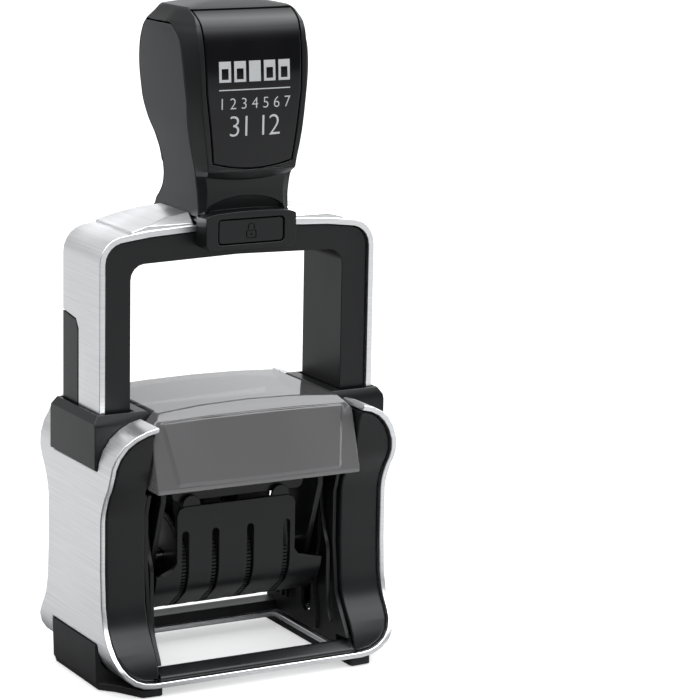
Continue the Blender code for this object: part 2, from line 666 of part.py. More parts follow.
def build_handle(model, press):
    core = model.piece("handle_core", handle_mesh("handle_core"), "black", press)
    for facing in (-1, 1):
        near, far = sorted((facing * (BOW_DEPTH + GAP), facing * BLOCK_FRONT))
        corner = BLOCK_SHOULDER if facing > 0 else 0.4
        block = rounded([(-BLOCK_HALF, BLOCK_LOW, 1.6), (BLOCK_HALF, BLOCK_LOW, 1.6),
                         (BLOCK_HALF, BLOCK_HIGH - corner, 0), (BLOCK_HALF - corner, BLOCK_HIGH, 0),
                         (corner - BLOCK_HALF, BLOCK_HIGH, 0), (-BLOCK_HALF, BLOCK_HIGH - corner, 0)], 3)
        combine(core, model.cut_plate("handle_block", [block], "Y", near, far), "UNION")
        near, far = sorted((facing * 11.3, facing * 17.0))
        combine(core, model.cut_plate("button_room", [button_outline(GAP, 1.0)], "Y", near, far))
    for name, side in (("left", -1), ("right", 1)):
        near, far = sorted((side * 8.0, side * 20.0))
        grip = model.piece("grip_" + name, handle_mesh("grip_" + name), "grip", press)
        combine(grip, model.cut_plate("grip_view_" + name, [grip_outline(GAP)], "X", near, far), "INTERSECT")
        combine(grip, model.cutter("grip_inside_" + name, handle_mesh("grip_inside", GRIP_WALL)))
        room = model.cut_plate("grip_room_" + name, [grip_outline(0.0)], "X", near, far)
        deep = handle_mesh("grip_room_inside", GRIP_WALL + GAP)
        combine(room, model.cutter("grip_room_inside_" + name, deep))
        combine(core, room)
    window = model.piece("handle_window", handle_mesh("handle_window"), "gloss", press)
    combine(window, model.cut_plate("window_view", [window_outline(GAP)], "Y", -20, -3), "INTERSECT")
    combine(window, model.cutter("window_inside", handle_mesh("window_inside", WINDOW_WALL)))
    card = model.piece("index_card", handle_mesh("index_card", WINDOW_WALL + GAP), "card", press)
    combine(card, model.cut_plate("card_view", [window_outline(1.2)], "Y", -20, -6), "INTERSECT")
    deep = WINDOW_WALL + GAP + CARD_WALL
    combine(card, model.cutter("card_inside", handle_mesh("card_inside", deep)))
    room = model.cut_plate("window_room", [window_outline(0.0)], "Y", -20, -3)
    combine(room, model.cutter("window_room_inside", handle_mesh("window_room_inside", deep + GAP)))
    combine(core, room)
    for name, facing in (("front", -1), ("rear", 1)):
        axis = model.axis("lock_axis_" + name, (0, facing * BLOCK_FRONT, 103.9), press)
        near, far = sorted((facing * 13.2, facing * 15.3))
        model.plate("lock_button_" + name, [button_outline(0.0, 0.8)], "Y", near, far, "black", axis)


# ---------------------------------------------------------------- date unit

def housing_path():
    """Side view of a housing shell, outside: flat panel, round belly and a flat underside."""
    path = [(-HOUSING_FRONT, HOUSING_TOP), (-HOUSING_FRONT, AXLE_Z + 1.5)]
    path += arc((0, AXLE_Z), HOUSING_FRONT, 180, 212, 5)
    return path + [(-5.0, 15.4), (-0.6, 14.5)]


def build_housing(model, name, facing, flip):
    path = housing_path()
    outline = strip(path, 0.0, HOUSING_WALL)
    if facing > 0:
        outline = mirrored(outline)
    shell = model.plate("housing_" + name, [outline], "X", -DRUM_HALF, DRUM_HALF, "black", flip)
    for side, edge, lug_x in ((-1, PANEL_LEFT, LUG_X[0]), (1, PANEL_RIGHT, LUG_X[1])):
        flare = [(abs(edge) - 2.0, 45), (abs(edge) - 2.0, HOUSING_TOP), (abs(edge) - 0.6, HOUSING_TOP - 0.6),
                 (abs(edge), HOUSING_TOP - 2.0), (abs(edge), 27.4), (abs(edge) + 1.0, 25.9),
                 (20.6, 24.6), (23, 24.4), (23, 45)]
        ear = flare if side > 0 else mirrored(flare)
        combine(shell, model.cut_plate("ear_" + name, [ear], "Y", -14, 14))
        lug = circle((lug_x, HOUSING_TOP + 0.2), 2.3, 14)
        near, far = sorted((facing * 10.9, facing * 11.7))
        combine(shell, model.cut_plate("lug_" + name, [lug], "Y", near, far), "UNION")
    for x in WHEEL_X:
        slot = rounded([(x - SLOT_HALF, 13, 0), (x + SLOT_HALF, 13, 0), (x + SLOT_HALF, SLOT_TOP, 0.8),
                        (x - SLOT_HALF, SLOT_TOP, 0.8)], 2)
        combine(shell, model.cut_plate("slot_" + name, [slot], "Y", -14, 14))


def build_wheel(model, index, flip):
    """Toothed thumb wheel with the hub that drives its date band."""
    x = WHEEL_X[index]
    axis = model.axis("wheel_axis_%d" % (index + 1), (x, 0, AXLE_Z), flip)
    count = WHEEL_TEETH * 2

    def ring(radius, position, tooth=0.0):
        points = []
        for step in range(count):
            angle = math.tau * step / count
            reach = radius - tooth * (step % 2)
            points.append((position, reach * math.cos(angle), AXLE_Z + reach * math.sin(angle)))
        return points

    near, far = x - DISC_HALF, x + DISC_HALF
    end = BAND_SPANS[index][1]
    bore = AXLE_RADIUS + GAP
    rings = [ring(WHEEL_RADIUS, near, TOOTH_DEPTH), ring(WHEEL_RADIUS, far, TOOTH_DEPTH),
             ring(HUB_RADIUS, far), ring(HUB_RADIUS, end), ring(bore, end), ring(bore, near)]
    mesh = ring_mesh("date_wheel_%d" % (index + 1), rings, closed=True)
    model.piece(mesh.name, mesh, "black", axis)


def belt_outline(hub, nose, steps=8):
    """Side view of a belt round a hub and a smaller nose above it."""
    spread = math.degrees(math.asin((hub - nose) / (NOSE_Z - AXLE_Z)))
    lower = arc((0, AXLE_Z), hub, 180 - spread, 360 + spread, steps)
    upper = arc((0, NOSE_Z), nose, spread, 180 - spread, steps - 2)
    return lower + upper


def build_unit(model, flip):
    for name, facing in (("front", -1), ("rear", 1)):
        build_housing(model, name, facing, flip)
    for index in range(len(WHEEL_X)):
        build_wheel(model, index, flip)
        inner = HUB_RADIUS + GAP
        nose = NOSE_RADIUS + GAP
        loops = [belt_outline(inner + BELT_WALL, nose + BELT_WALL), belt_outline(inner, nose)]
        near, far = BAND_SPANS[index]
        model.plate("date_band_%d" % (index + 1), loops, "X", near, far, "rubber", flip)
    axle = circle((0, AXLE_Z), AXLE_RADIUS, 14)
    model.plate("wheel_axle", [axle], "X", -20.8, 20.8, "steel", flip)
    bridge = arc((0, NOSE_Z), NOSE_RADIUS, 0, 180, 8) + [(-0.8, 44.0), (0.8, 44.0)]
    model.plate("band_bridge", [bridge], "X", -13.7, 16.1, "black", flip)
    build_die(model, flip)
    for name, side in (("left", -1), ("right", 1)):
        yoke = rounded([(-12.6, 47.2, 0), (-12.8, 42.5, 3), (-6.6, 25.0, 4), (-4.0, 19.8, 2),
                        (4.0, 19.8, 2), (6.6, 25.0, 4), (12.8, 42.5, 3), (12.6, 47.2, 0)], 3)
        pin_hole = circle((0, FLIP_AXIS_Z), PIN_RADIUS + GAP, 14)
        holes = [pin_hole, circle((0, AXLE_Z), AXLE_RADIUS + GAP, 12)]
        near, far = sorted((side * YOKE_IN, side * YOKE_OUT))
        model.plate("yoke_" + name, [yoke] + holes, "X", near, far, "black", flip)
        near, far = sorted((side * (YOKE_OUT + GAP), side * 22.8))
        cam = rounded([(-6, 38.4, 1), (6, 38.4, 1), (6, 40.2, 0.4), (4.4, 41, 0.4), (6, 41.8, 0.4),
                       (6, 43.6, 1), (-6, 43.6, 1), (-6, 41.8, 0.4), (-4.4, 41, 0.4), (-6, 40.2, 0.4)], 2)
        model.plate("flip_cam_" + name, [cam, pin_hole], "X", near, far, "black", flip)
        near, far = sorted((side * 19.0, side * 29.2))
        pin = circle((0, FLIP_AXIS_Z), PIN_RADIUS, 16)
        model.plate("pivot_pin_" + name, [pin], "X", near, far, "steel", flip)


def build_die(model, flip):
    """Die plate with the date window, and the rubber text plate on it."""
    window = rectangle((-14.0, -3.0), (16.4, 3.0))
    plate = rounded([(-DIE_HALF_X, -DIE_HALF_Y, 1), (DIE_HALF_X, -DIE_HALF_Y, 1),
                     (DIE_HALF_X, DIE_HALF_Y, 1), (-DIE_HALF_X, DIE_HALF_Y, 1)], 3)
    die = model.plate("die_plate", [plate, window], "Z", DIE_LOW, DIE_HIGH, "black", flip)
    for facing in (-1, 1):
        near, far = sorted((facing * APRON_Y, facing * (APRON_Y + 1.0)))
        apron = rounded([(-17.0, APRON_LOW, 1.5), (17.0, APRON_LOW, 1.5), (17.0, DIE_LOW + 0.4, 0),
                         (-17.0, DIE_LOW + 0.4, 0)], 3)
        combine(die, model.cut_plate("apron", [apron], "Y", near, far), "UNION")
    low = DIE_HIGH + GAP
    sheet = rounded([(-19.8, -11.4, 1), (19.8, -11.4, 1), (19.8, 11.4, 1), (-19.8, 11.4, 1)], 3)
    hole = rectangle((-14.4, -3.4), (16.8, 3.4))
    text = model.plate("text_plate", [sheet, hole], "Z", low, low + 1.2, "rubber", flip)
    for near, far in ((-10.4, -5.0), (5.0, 10.4)):
        bar = rectangle((-17.0, near), (17.0, far))
        combine(text, model.cut_plate("text_line", [bar], "Z", low + 0.6, TEXT_HIGH), "UNION")


def main():
    for obj in list(bpy.data.objects):
        bpy.data.objects.remove(obj)
    model = Model()
    press = model.axis("press_axis", (0, 0, BOW_TOP))
    flip = model.axis("flip_axis", (0, 0, FLIP_AXIS_Z), press)
    build_base(model)
    build_hood(model)
    build_pad(model)
    build_bow(model, press)
    build_handle(model, press)
    build_unit(model, flip)


main()
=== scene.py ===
"""Looks of the self-inking rotary date stamp, built round the frame of its CAD parts.

Lengths in the tables are millimetres and are scaled by MM. The front faces -Y, +Z is up.
"""

from collections import namedtuple
import json
import math

import bmesh
import bpy
import numpy as np
from mathutils import Matrix, Vector

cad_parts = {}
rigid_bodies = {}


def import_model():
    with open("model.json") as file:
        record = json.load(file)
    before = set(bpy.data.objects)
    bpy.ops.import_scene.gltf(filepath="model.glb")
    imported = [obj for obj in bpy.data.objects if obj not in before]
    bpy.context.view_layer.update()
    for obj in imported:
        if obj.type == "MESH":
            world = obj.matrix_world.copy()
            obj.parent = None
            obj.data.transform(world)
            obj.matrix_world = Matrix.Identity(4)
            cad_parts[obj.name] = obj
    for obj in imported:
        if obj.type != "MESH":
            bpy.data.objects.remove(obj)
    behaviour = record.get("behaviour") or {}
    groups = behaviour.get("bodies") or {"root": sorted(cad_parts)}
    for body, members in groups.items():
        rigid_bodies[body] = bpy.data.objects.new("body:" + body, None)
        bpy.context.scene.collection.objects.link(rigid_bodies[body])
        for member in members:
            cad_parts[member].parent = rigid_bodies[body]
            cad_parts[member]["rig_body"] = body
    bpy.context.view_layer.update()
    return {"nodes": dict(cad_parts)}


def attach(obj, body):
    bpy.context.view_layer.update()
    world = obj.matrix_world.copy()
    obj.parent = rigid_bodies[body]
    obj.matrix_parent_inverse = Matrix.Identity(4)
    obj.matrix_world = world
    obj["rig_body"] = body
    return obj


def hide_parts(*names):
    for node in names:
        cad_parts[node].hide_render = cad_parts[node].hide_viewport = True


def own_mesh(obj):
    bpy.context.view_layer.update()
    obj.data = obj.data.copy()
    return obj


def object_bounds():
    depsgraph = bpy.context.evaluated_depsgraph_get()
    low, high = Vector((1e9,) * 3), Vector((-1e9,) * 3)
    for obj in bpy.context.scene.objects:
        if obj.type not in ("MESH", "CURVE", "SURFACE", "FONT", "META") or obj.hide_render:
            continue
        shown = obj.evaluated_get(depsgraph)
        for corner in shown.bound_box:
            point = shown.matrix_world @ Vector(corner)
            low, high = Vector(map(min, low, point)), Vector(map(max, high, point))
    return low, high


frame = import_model()

MM = 0.001
GAP = 0.3  # seam between neighbouring mouldings

# Handle, bottom to top: height, half-width at the grips, half-width of the front and rear
# faces, front face, front edge of the grip, rear edge of the grip, rear face. Each table carries on
# from the one before.
NECK = [
    (105.9, 11.35, 9.9, -12.2, -11.5, 11.5, 12.4),
    (107.4, 11.35, 9.9, -12.2, -11.5, 11.0, 12.3),
    (108.6, 11.35, 9.8, -12.2, -11.4, 10.3, 12.0),
    (109.8, 11.38, 9.7, -12.2, -11.3, 8.9, 11.2),
    (111.2, 11.42, 9.65, -12.2, -11.2, 7.6, 10.2),
    (112.6, 11.55, 9.6, -12.2, -11.2, 6.6, 9.4),
    (114.8, 11.85, 9.9, -12.3, -11.2, 5.6, 8.7),
    (116.1, 12.1, 10.3, -12.6, -11.4, 5.2, 8.4),
]
NOSE = [
    (116.4, 12.15, 10.4, -13.8, -11.45, 5.15, 8.4),
    (117.6, 12.4, 11.0, -15.3, -11.7, 4.95, 8.4),
]
HEAD = [
    (120.0, 13.0, 11.3, -15.5, -11.9, 4.9, 8.8),
    (123.0, 13.6, 11.8, -15.8, -11.9, 5.6, 10.0),
    (128.0, 14.5, 12.5, -16.0, -12.1, 8.8, 12.8),
    (133.0, 15.0, 13.0, -16.0, -12.5, 10.7, 14.3),
    (139.0, 15.6, 13.3, -15.8, -12.2, 10.9, 14.5),
    (145.0, 15.9, 13.5, -15.2, -11.0, 10.0, 13.8),
    (148.5, 15.8, 13.5, -14.4, -8.2, 8.6, 12.2),
    (150.3, 15.4, 13.4, -13.6, -4.0, 7.4, 10.4),
]
CROWN = [
    (151.0, 14.8, 13.3, -13.0, -4.1, 7.1, 9.4),
    (151.8, 14.1, 13.1, -12.0, -4.2, 6.6, 8.2),
    (152.7, 13.5, 13.1, -10.4, -4.6, 5.8, 6.8),
    (153.2, 13.2, 12.95, -9.2, -4.5, 5.4, 6.2),
    (153.7, 12.8, 12.5, -7.8, -4.2, 4.8, 5.6),
    (154.4, 8.8, 8.2, -5.2, -3.2, 3.2, 3.9),
    (154.85, 4.6, 4.2, -2.6, -1.6, 1.6, 2.1),
    (155.0, 1.2, 1.0, -0.6, -0.4, 0.4, 0.6),
]
NOSE_BOW = 1.0  # how far the nose under the window hangs lower in the middle
NOSE_BOW_HEIGHTS = [112.6, 116.0, 118.0]  # where that bow starts, is full and ends
FACE_SWELL = 0.35  # how far the faces of the handle bulge
SIDE_SWELL_HEIGHTS = [149.0, 151.0]  # where the bulge of the sides runs out
HOLLOW_STEP = 0.02  # height over which a hollow of the handle starts or ends
GRIP_LOW = 106.6
GRIP_HIGH = 150.2
GRIP_WALL = 1.5
WINDOW_LOW = 117.9
WINDOW_BOW = 1.4  # rise of the window's lower edge towards its corners
WINDOW_HIGH = 153.35
WINDOW_WALL = 1.1
WINDOW_LEVELS = [119.3, 135.0, 149.5, 153.4]
WINDOW_HALVES = [10.1, 12.0, 12.4, 12.7]  # half-width of the window's hollow at these levels
RECESS_HALF = 10.2  # recess in the neck above the front lock button
RECESS_LOW = 105.0
RECESS_ARCH = 107.2  # where its round top starts
RECESS_RISE = 4.2
RECESS_FLOOR = -10.6
RECESS_LEAN = 0.42  # how far it leans forwards for each mm of height above RECESS_BEND
RECESS_BEND = 107.0
CUT_FRONT = 17.0  # cutters reach this far, past the handle's front and rear
BLOCK_HALF = 11.4
BLOCK_BACK = 10.3
BLOCK_FRONT = 15.5
BLOCK_LOW = 99.8
BLOCK_HIGH = 107.4
BLOCK_ARCH_LOW = 107.1  # ends and rise of the front block's arched top
BLOCK_ARCH_RISE = 1.3
BLOCK_CORNER = 1.6
BLOCK_SHOULDER = 3.2  # corner taken off the top of the rear block
ROOM_BACK = 11.3  # floor of the lock button's room
BUTTON_BACK = 13.2
BUTTON_FRONT = 15.3
BUTTON_HALF = 8.1
BUTTON_LOW = 101.2
BUTTON_HIGH = 106.5
SIGN_DEPTH = 0.3

# Print on the window's face
PRINT_THICK = 0.02
PRINT_DEPTH = 0.03  # how far its middle stands out of the window's face
SQUARE_STEP = 3.7  # week strip: five squares, with the middle one filled
SQUARE_HALF = 1.45
SQUARE_HOLE_HALF = 0.85
SQUARE_LEVELS = (137.6, 138.2, 140.6, 142.2)
RULE = (-8.9, 135.75, 8.9, 136.0)
DIGIT_SIZE = 1.38  # type size for a digit one unit tall

# Hood's raised front panel
HOOD_FOOT_Y, HOOD_FOOT_Z = -21.5, 47.8  # lower front edge of the hood
HOOD_LEAN = 4.5 / 14.6  # how far the front leans back for each mm of height
HOOD_OUT_Y, HOOD_OUT_Z = -0.956, 0.294  # direction square to the front
HOOD_PANEL = [
    (-20.4, 48.5), (-10.0, 48.35), (0.0, 48.3), (10.0, 48.35), (20.4, 48.5),
    (22.7, 61.9), (11.5, 62.15), (0.0, 62.2), (-11.5, 62.15), (-22.7, 61.9),
]
PANEL_LAYERS = ((-0.5, 0.35), (0.0, 0.35), (0.5, 0.0))  # distance out of the front, growth of the outline
PANEL_MIDDLE_Z = 55.0

# Frames, side walls and drum
SILL_HALF = 25.6
SILL_PROFILE = [(15.4, 4.5), (20.6, 4.5), (20.2, 5.5), (18.4, 6.8), (17.2, 6.8), (15.4, 6.0)]
LIP_PROFILE = [(0.75, 13.3), (4.6, 13.9), (4.6, 15.7), (0.75, 15.2)]
FINGER_SPANS = [(-21.4, -15.1), (-13.2, -7.5), (-5.6, 1.5), (3.4, 11.0), (12.9, 21.4)]
GUIDE_FACE, GUIDE_ROOT = 22.4, 23.4  # rails and rib on the inner face of a side wall
RAIL_PLACES = (7.0, 9.2, 12.0)
RAIL_WIDTH, RAIL_LOW, RAIL_HIGH = 0.6, 9.0, 44.0
RIB_HALF = 0.35
RIB_LINE = [
    (9.0, -14.2), (13.0, -12.6), (19.0, -12.2), (26.0, -12.0), (31.0, -10.2), (37.0, -8.6), (44.0, -8.4),
]

# Date wheels
AXLE_Z = 26.0
WHEEL_X = [-14.2, -6.5, 2.5, 12.0]
HUB_ENDS = [-8.9, -1.2, 10.9, 15.8]  # right end of each wheel's hub
HUB_RADIUS = 4.8
WHEEL_BORE = 1.8
WHEEL_RIM = 10.7
WHEEL_RADIUS = 11.3  # over the teeth
WHEEL_THICK = 1.1
WHEEL_STEPS = 96
GROOVE_IN, GROOVE_OUT, GROOVE_DEPTH = 9.6, 10.0, 0.2
TEETH = 84
TOOTH_HEIGHT, TOOTH_WIDTH = 0.7, 0.45

# Return springs and ink pad
SPRING_X, SPRING_Y = 30.2, 5.2
SPRING_FOOT, SPRING_TOP, TRAVEL = 4.3, 60.0, 30.0
SPRING_RADIUS, SPRING_WIRE, SPRING_TURNS = 1.75, 0.3, 15
SPRING_STEPS = 20  # rings in one turn
WIRE_SIDES = 10
PAD_HALF_X, PAD_HALF_Y, PAD_CORNER = 20.2, 12.4, 1.6
PAD_PROFILE = [  # height, inset from the side
    (52.62, 9.0), (52.63, 6.0), (52.66, 3.0), (52.74, 1.4), (52.9, 0.6), (53.2, 0.15), (53.6, 0.0),
    (56.3, 0.0), (56.7, 0.15), (57.0, 0.5), (57.2, 1.1), (57.28, 2.5),
]

# Rounding of the edges of the pieces that keep the shape of their CAD part
EDGE = 0.15
EDGES = {"base_band": 0.3, "bow_band": 0.14, "front_frame": 0.6}

# Camera
CAMERA_PLACE = (-298.35, -581.44, 212.55)
CAMERA_AIM = (0.0, 0.0, 84.8)
CAMERA_ROLL = 0.58
CAMERA_LENS = 148.6
CAMERA_SHIFT = (0.1864, -0.0689)

# Floor and lights, in metres
FLOOR_HALF = 6.0
FLOOR_DROP = 0.0002
FLOOR_WHITE = 0.95
FLOOR_DARK = 0.06  # as glossy surfaces see it, outside the bright areas
FLOOR_GLOW = 0.45
FLOOR_AREAS = [  # x and y where a bright area starts and is full, its brightness
    (-0.03, -0.05, -0.03, 0.02, 0.70),
    (-0.04, 0.0, 0.06, -0.02, 0.74),
]
LIGHTS = [  # name, place, aim, size, power in watts
    ("key_light", (-0.55, -0.75, 0.85), (0.0, 0.0, 0.07), (0.5, 0.5), 1.0),
    ("right_strip", (0.75, -0.25, 0.3), (0.0, 0.0, 0.06), (0.15, 0.7), 1.5),
]


# ---------------------------------------- materials

def add_node(tree, kind, **inputs):
    """A node whose plain sockets are set; an underscore in a name stands for a space."""
    node = tree.nodes.new(kind)
    for name, value in inputs.items():
        node.inputs[name.replace("_", " ")].default_value = value
    return node


def wire(tree, *links):
    """Links given as (from node, outlet, to node, inlet)."""
    for start, outlet, end, inlet in links:
        tree.links.new(start.outputs[outlet], end.inputs[inlet])


def new_group(name, inputs, outputs):
    """An empty node group with float inputs (name, value) and outputs (name, socket type)."""
    tree = bpy.data.node_groups.new(name, "ShaderNodeTree")
    for label, value in inputs:
        socket = tree.interface.new_socket(label, in_out="INPUT", socket_type="NodeSocketFloat")
        socket.default_value = value
    for label, kind in outputs:
        tree.interface.new_socket(label, in_out="OUTPUT", socket_type=kind)
    return tree, tree.nodes.new("NodeGroupInput"), tree.nodes.new("NodeGroupOutput")


def moulded_grain_group():
    """Fine spark-erosion texture of moulded plastic: a height and a small shade variation."""
    tree, given, result = new_group(
        "moulded_grain", [("Scale", 3000.0), ("Patch Scale", 60.0)],
        [("Height", "NodeSocketFloat"), ("Shade", "NodeSocketFloat")])
    place = tree.nodes.new("ShaderNodeTexCoord")
    fine = add_node(tree, "ShaderNodeTexNoise", Detail=3.0, Roughness=0.6)
    broad = add_node(tree, "ShaderNodeTexNoise", Detail=2.0, Roughness=0.5)
    wire(tree, (place, "Object", fine, "Vector"), (given, "Scale", fine, "Scale"),
         (place, "Object", broad, "Vector"), (given, "Patch Scale", broad, "Scale"),
         (fine, "Fac", result, "Height"), (broad, "Fac", result, "Shade"))
    return tree


def brushing_group():
    """Long fine scratches along one direction, with a slow variation over them."""
    tree, given, result = new_group(
        "brushing", [("Across", 2600.0), ("Along", 26.0)],
        [("Scratch", "NodeSocketFloat"), ("Cloud", "NodeSocketFloat")])
    place = tree.nodes.new("ShaderNodeTexCoord")
    stretch = tree.nodes.new("ShaderNodeCombineXYZ")
    scaled = tree.nodes.new("ShaderNodeVectorMath")
    scaled.operation = "MULTIPLY"
    lines = add_node(tree, "ShaderNodeTexNoise", Scale=1.0, Detail=4.0, Roughness=0.65)
    cloud = add_node(tree, "ShaderNodeTexNoise", Scale=45.0, Detail=2.0, Roughness=0.5)
    wire(tree, (given, "Along", stretch, "X"), (given, "Along", stretch, "Y"),
         (given, "Across", stretch, "Z"), (place, "Object", scaled, 0), (stretch, "Vector", scaled, 1),
         (scaled, "Vector", lines, "Vector"), (place, "Object", cloud, "Vector"),
         (lines, "Fac", result, "Scratch"), (cloud, "Fac", result, "Cloud"))
    return tree


GROUPS = {
    "grain": moulded_grain_group(),
    "brushing": brushing_group(),
}


def place_group(tree, name, **inputs):
    """One of the shared node groups, placed in a material with its own values."""
    node = tree.nodes.new("ShaderNodeGroup")
    node.node_tree = GROUPS[name]
    for label, value in inputs.items():
        node.inputs[label.replace("_", " ")].default_value = value
    return node


def new_material(name, **settings):
    """A material with a Principled shader whose plain sockets are set from the settings."""
    material = bpy.data.materials.new(name + "_finish")
    material.use_nodes = True
    tree = material.node_tree
    shader = tree.nodes["Principled BSDF"]
    for label, value in settings.items():
        shader.inputs[label.replace("_", " ")].default_value = value
    return material, tree, shader


def in_range(tree, source, low, high, to_low=0.0, to_high=1.0):
    """A value mapped from the range low to high, which may run downwards, to another range."""
    node = add_node(tree, "ShaderNodeMapRange", From_Min=low, From_Max=high, To_Min=to_low, To_Max=to_high)
    tree.links.new(source, node.inputs["Value"])
    return node


def spread(tree, source, low, high):
    """Turns a noise value of about 0.3 to 0.7 into a range of its own."""
    return in_range(tree, source, 0.3, 0.7, low, high).outputs["Result"]


def shade_between(tree, share, low, high):
    """A colour between two colours."""
    mix = tree.nodes.new("ShaderNodeMix")
    mix.data_type = "RGBA"
    mix.inputs["A"].default_value = (*low, 1.0)
    mix.inputs["B"].default_value = (*high, 1.0)
    tree.links.new(share, mix.inputs["Factor"])
    return mix.outputs["Result"]


def plug(tree, socket, source):
    """Feeds a socket from another socket, or sets it to a plain number."""
    if isinstance(source, float):
        socket.default_value = source
    else:
        tree.links.new(source, socket)


def reckon(tree, operation, first, second):
    """A sum or product of two values."""
    node = tree.nodes.new("ShaderNodeMath")
    node.operation = operation
    plug(tree, node.inputs[0], first)
    plug(tree, node.inputs[1], second)
    return node.outputs["Value"]


def choose(tree, factor, plain, other):
    """The plain value where the factor is 0, the other one where it is 1."""
    mix = tree.nodes.new("ShaderNodeMix")
    tree.links.new(factor, mix.inputs["Factor"])
    plug(tree, mix.inputs["A"], plain)
    plug(tree, mix.inputs["B"], other)
    return mix.outputs["Result"]


def bump(tree, shader, height, distance, strength):
    """Relief from a height value."""
    node = add_node(tree, "ShaderNodeBump", Strength=strength, Distance=distance)
    tree.links.new(height, node.inputs["Height"])
    tree.links.new(node.outputs["Normal"], shader.inputs["Normal"])


def moulded(name, dark, light, rough, grain_scale=3000.0, depth=0.00002, **settings):
    """Moulded plastic or rubber: fine grain and a slightly uneven tone."""
    material, tree, shader = new_material(name, **settings)
    grain = place_group(tree, "grain", Scale=grain_scale, Patch_Scale=55.0)
    body = shade_between(tree, spread(tree, grain.outputs["Shade"], 0.0, 1.0), dark, light)
    tree.links.new(body, shader.inputs["Base Color"])
    tree.links.new(spread(tree, grain.outputs["Shade"], *rough), shader.inputs["Roughness"])
    bump(tree, shader, grain.outputs["Height"], depth, 0.5)
    return material


def metal(name, dark, light, rough, across, along, depth):
    """Metal with long fine scratches along one direction."""
    material, tree, shader = new_material(name, Metallic=1.0, Anisotropic=0.35)
    lines = place_group(tree, "brushing", Across=across, Along=along)
    scratch = spread(tree, lines.outputs["Scratch"], 0.0, 1.0)
    tree.links.new(shade_between(tree, scratch, dark, light), shader.inputs["Base Color"])
    tree.links.new(spread(tree, lines.outputs["Cloud"], *rough), shader.inputs["Roughness"])
    bump(tree, shader, lines.outputs["Scratch"], depth, 0.35)
    return material


def felt(name):
    """Inked felt: matt, with a fuzzy relief."""
    material, tree, shader = new_material(name, Roughness=0.95, Sheen_Weight=0.3)
    fuzz = place_group(tree, "grain", Scale=2200.0, Patch_Scale=140.0)
    share = spread(tree, fuzz.outputs["Shade"], 0.0, 1.0)
    tint = shade_between(tree, share, (0.008, 0.009, 0.03), (0.02, 0.022, 0.06))
    tree.links.new(tint, shader.inputs["Base Color"])
    bump(tree, shader, fuzz.outputs["Height"], 0.0002, 0.9)
    return material


def smoke_plastic(name):
    """Tinted clear moulding: glossy and partly see-through."""
    material, tree, shader = new_material(name, Alpha=0.8, Coat_Weight=0.6, Coat_Roughness=0.04)
    flow = place_group(tree, "grain", Scale=500.0, Patch_Scale=22.0)
    share = spread(tree, flow.outputs["Shade"], 0.0, 1.0)
    tint = shade_between(tree, share, (0.15, 0.147, 0.15), (0.18, 0.177, 0.18))
    tree.links.new(tint, shader.inputs["Base Color"])
    tree.links.new(spread(tree, flow.outputs["Shade"], 0.08, 0.14), shader.inputs["Roughness"])
    return material


def gloss_black(name):
    """Polished dark plastic with a thin clear coat and a trace of dust."""
    material, tree, shader = new_material(name, Specular_IOR_Level=0.1, Coat_Weight=0.5, Coat_Roughness=0.12)
    dust = place_group(tree, "grain", Scale=1500.0, Patch_Scale=70.0)
    share = spread(tree, dust.outputs["Shade"], 0.0, 1.0)
    tint = shade_between(tree, share, (0.003, 0.003, 0.004), (0.006, 0.006, 0.007))
    tree.links.new(tint, shader.inputs["Base Color"])
    tree.links.new(spread(tree, dust.outputs["Shade"], 0.16, 0.2), shader.inputs["Roughness"])
    return material


MATERIALS = {
    "brushed_metal": metal("brushed_metal", (0.80, 0.81, 0.825), (0.94, 0.945, 0.955), (0.3, 0.4),
                           across=2600.0, along=26.0, depth=0.00001),
    "pin_steel": metal("pin_steel", (0.5, 0.5, 0.52), (0.62, 0.62, 0.64), (0.22, 0.3),
                       across=900.0, along=300.0, depth=0.000005),
    "moulded_black": moulded("moulded_black", (0.005, 0.0053, 0.006), (0.008, 0.0083, 0.009), (0.28, 0.38),
                             Specular_IOR_Level=0.34),
    "foot_black": moulded("foot_black", (0.008, 0.008, 0.009), (0.013, 0.013, 0.014), (0.5, 0.62),
                          grain_scale=2000.0, depth=0.00003, Specular_IOR_Level=0.3),
    "grip_grey": moulded("grip_grey", (0.028, 0.029, 0.030), (0.034, 0.035, 0.036), (0.42, 0.5),
                         grain_scale=4200.0, depth=0.000015, Specular_IOR_Level=0.32),
    "band_rubber": moulded("band_rubber", (0.028, 0.028, 0.030), (0.04, 0.04, 0.043), (0.65, 0.8),
                           grain_scale=1600.0, depth=0.00004),
    "card": moulded("card", (0.62, 0.61, 0.58), (0.7, 0.69, 0.66), (0.7, 0.8), grain_scale=900.0),
    "print_grey": moulded("print_grey", (0.42, 0.43, 0.44), (0.48, 0.49, 0.5), (0.4, 0.5),
                          grain_scale=900.0, depth=0.000005),
    "smoke_plastic": smoke_plastic("smoke_plastic"),
    "gloss_black": gloss_black("gloss_black"),
    "ink_felt": felt("ink_felt"),
}
SLOT_OF_NODE = {node: obj.data.materials[0].name for node, obj in frame["nodes"].items()}


# ---------------------------------------- outlines and meshes

def add_object(name, data):
    """An object for a mesh, curve, light or camera, put in the scene."""
    obj = bpy.data.objects.new(name, data)
    bpy.context.scene.collection.objects.link(obj)
    return obj


def take_mesh(obj):
    """The plain mesh that an object gives with its modifiers; the object itself is removed."""
    graph = bpy.context.evaluated_depsgraph_get()
    mesh = bpy.data.meshes.new_from_object(obj.evaluated_get(graph))
    bpy.data.objects.remove(obj)
    return mesh


def arc(centre, radius, start, end, steps=12):
    """Points on an arc; angles in degrees."""
    points = []
    for step in range(steps + 1):
        angle = math.radians(start + (end - start) * step / steps)
        points.append((centre[0] + radius * math.cos(angle), centre[1] + radius * math.sin(angle)))
    return points


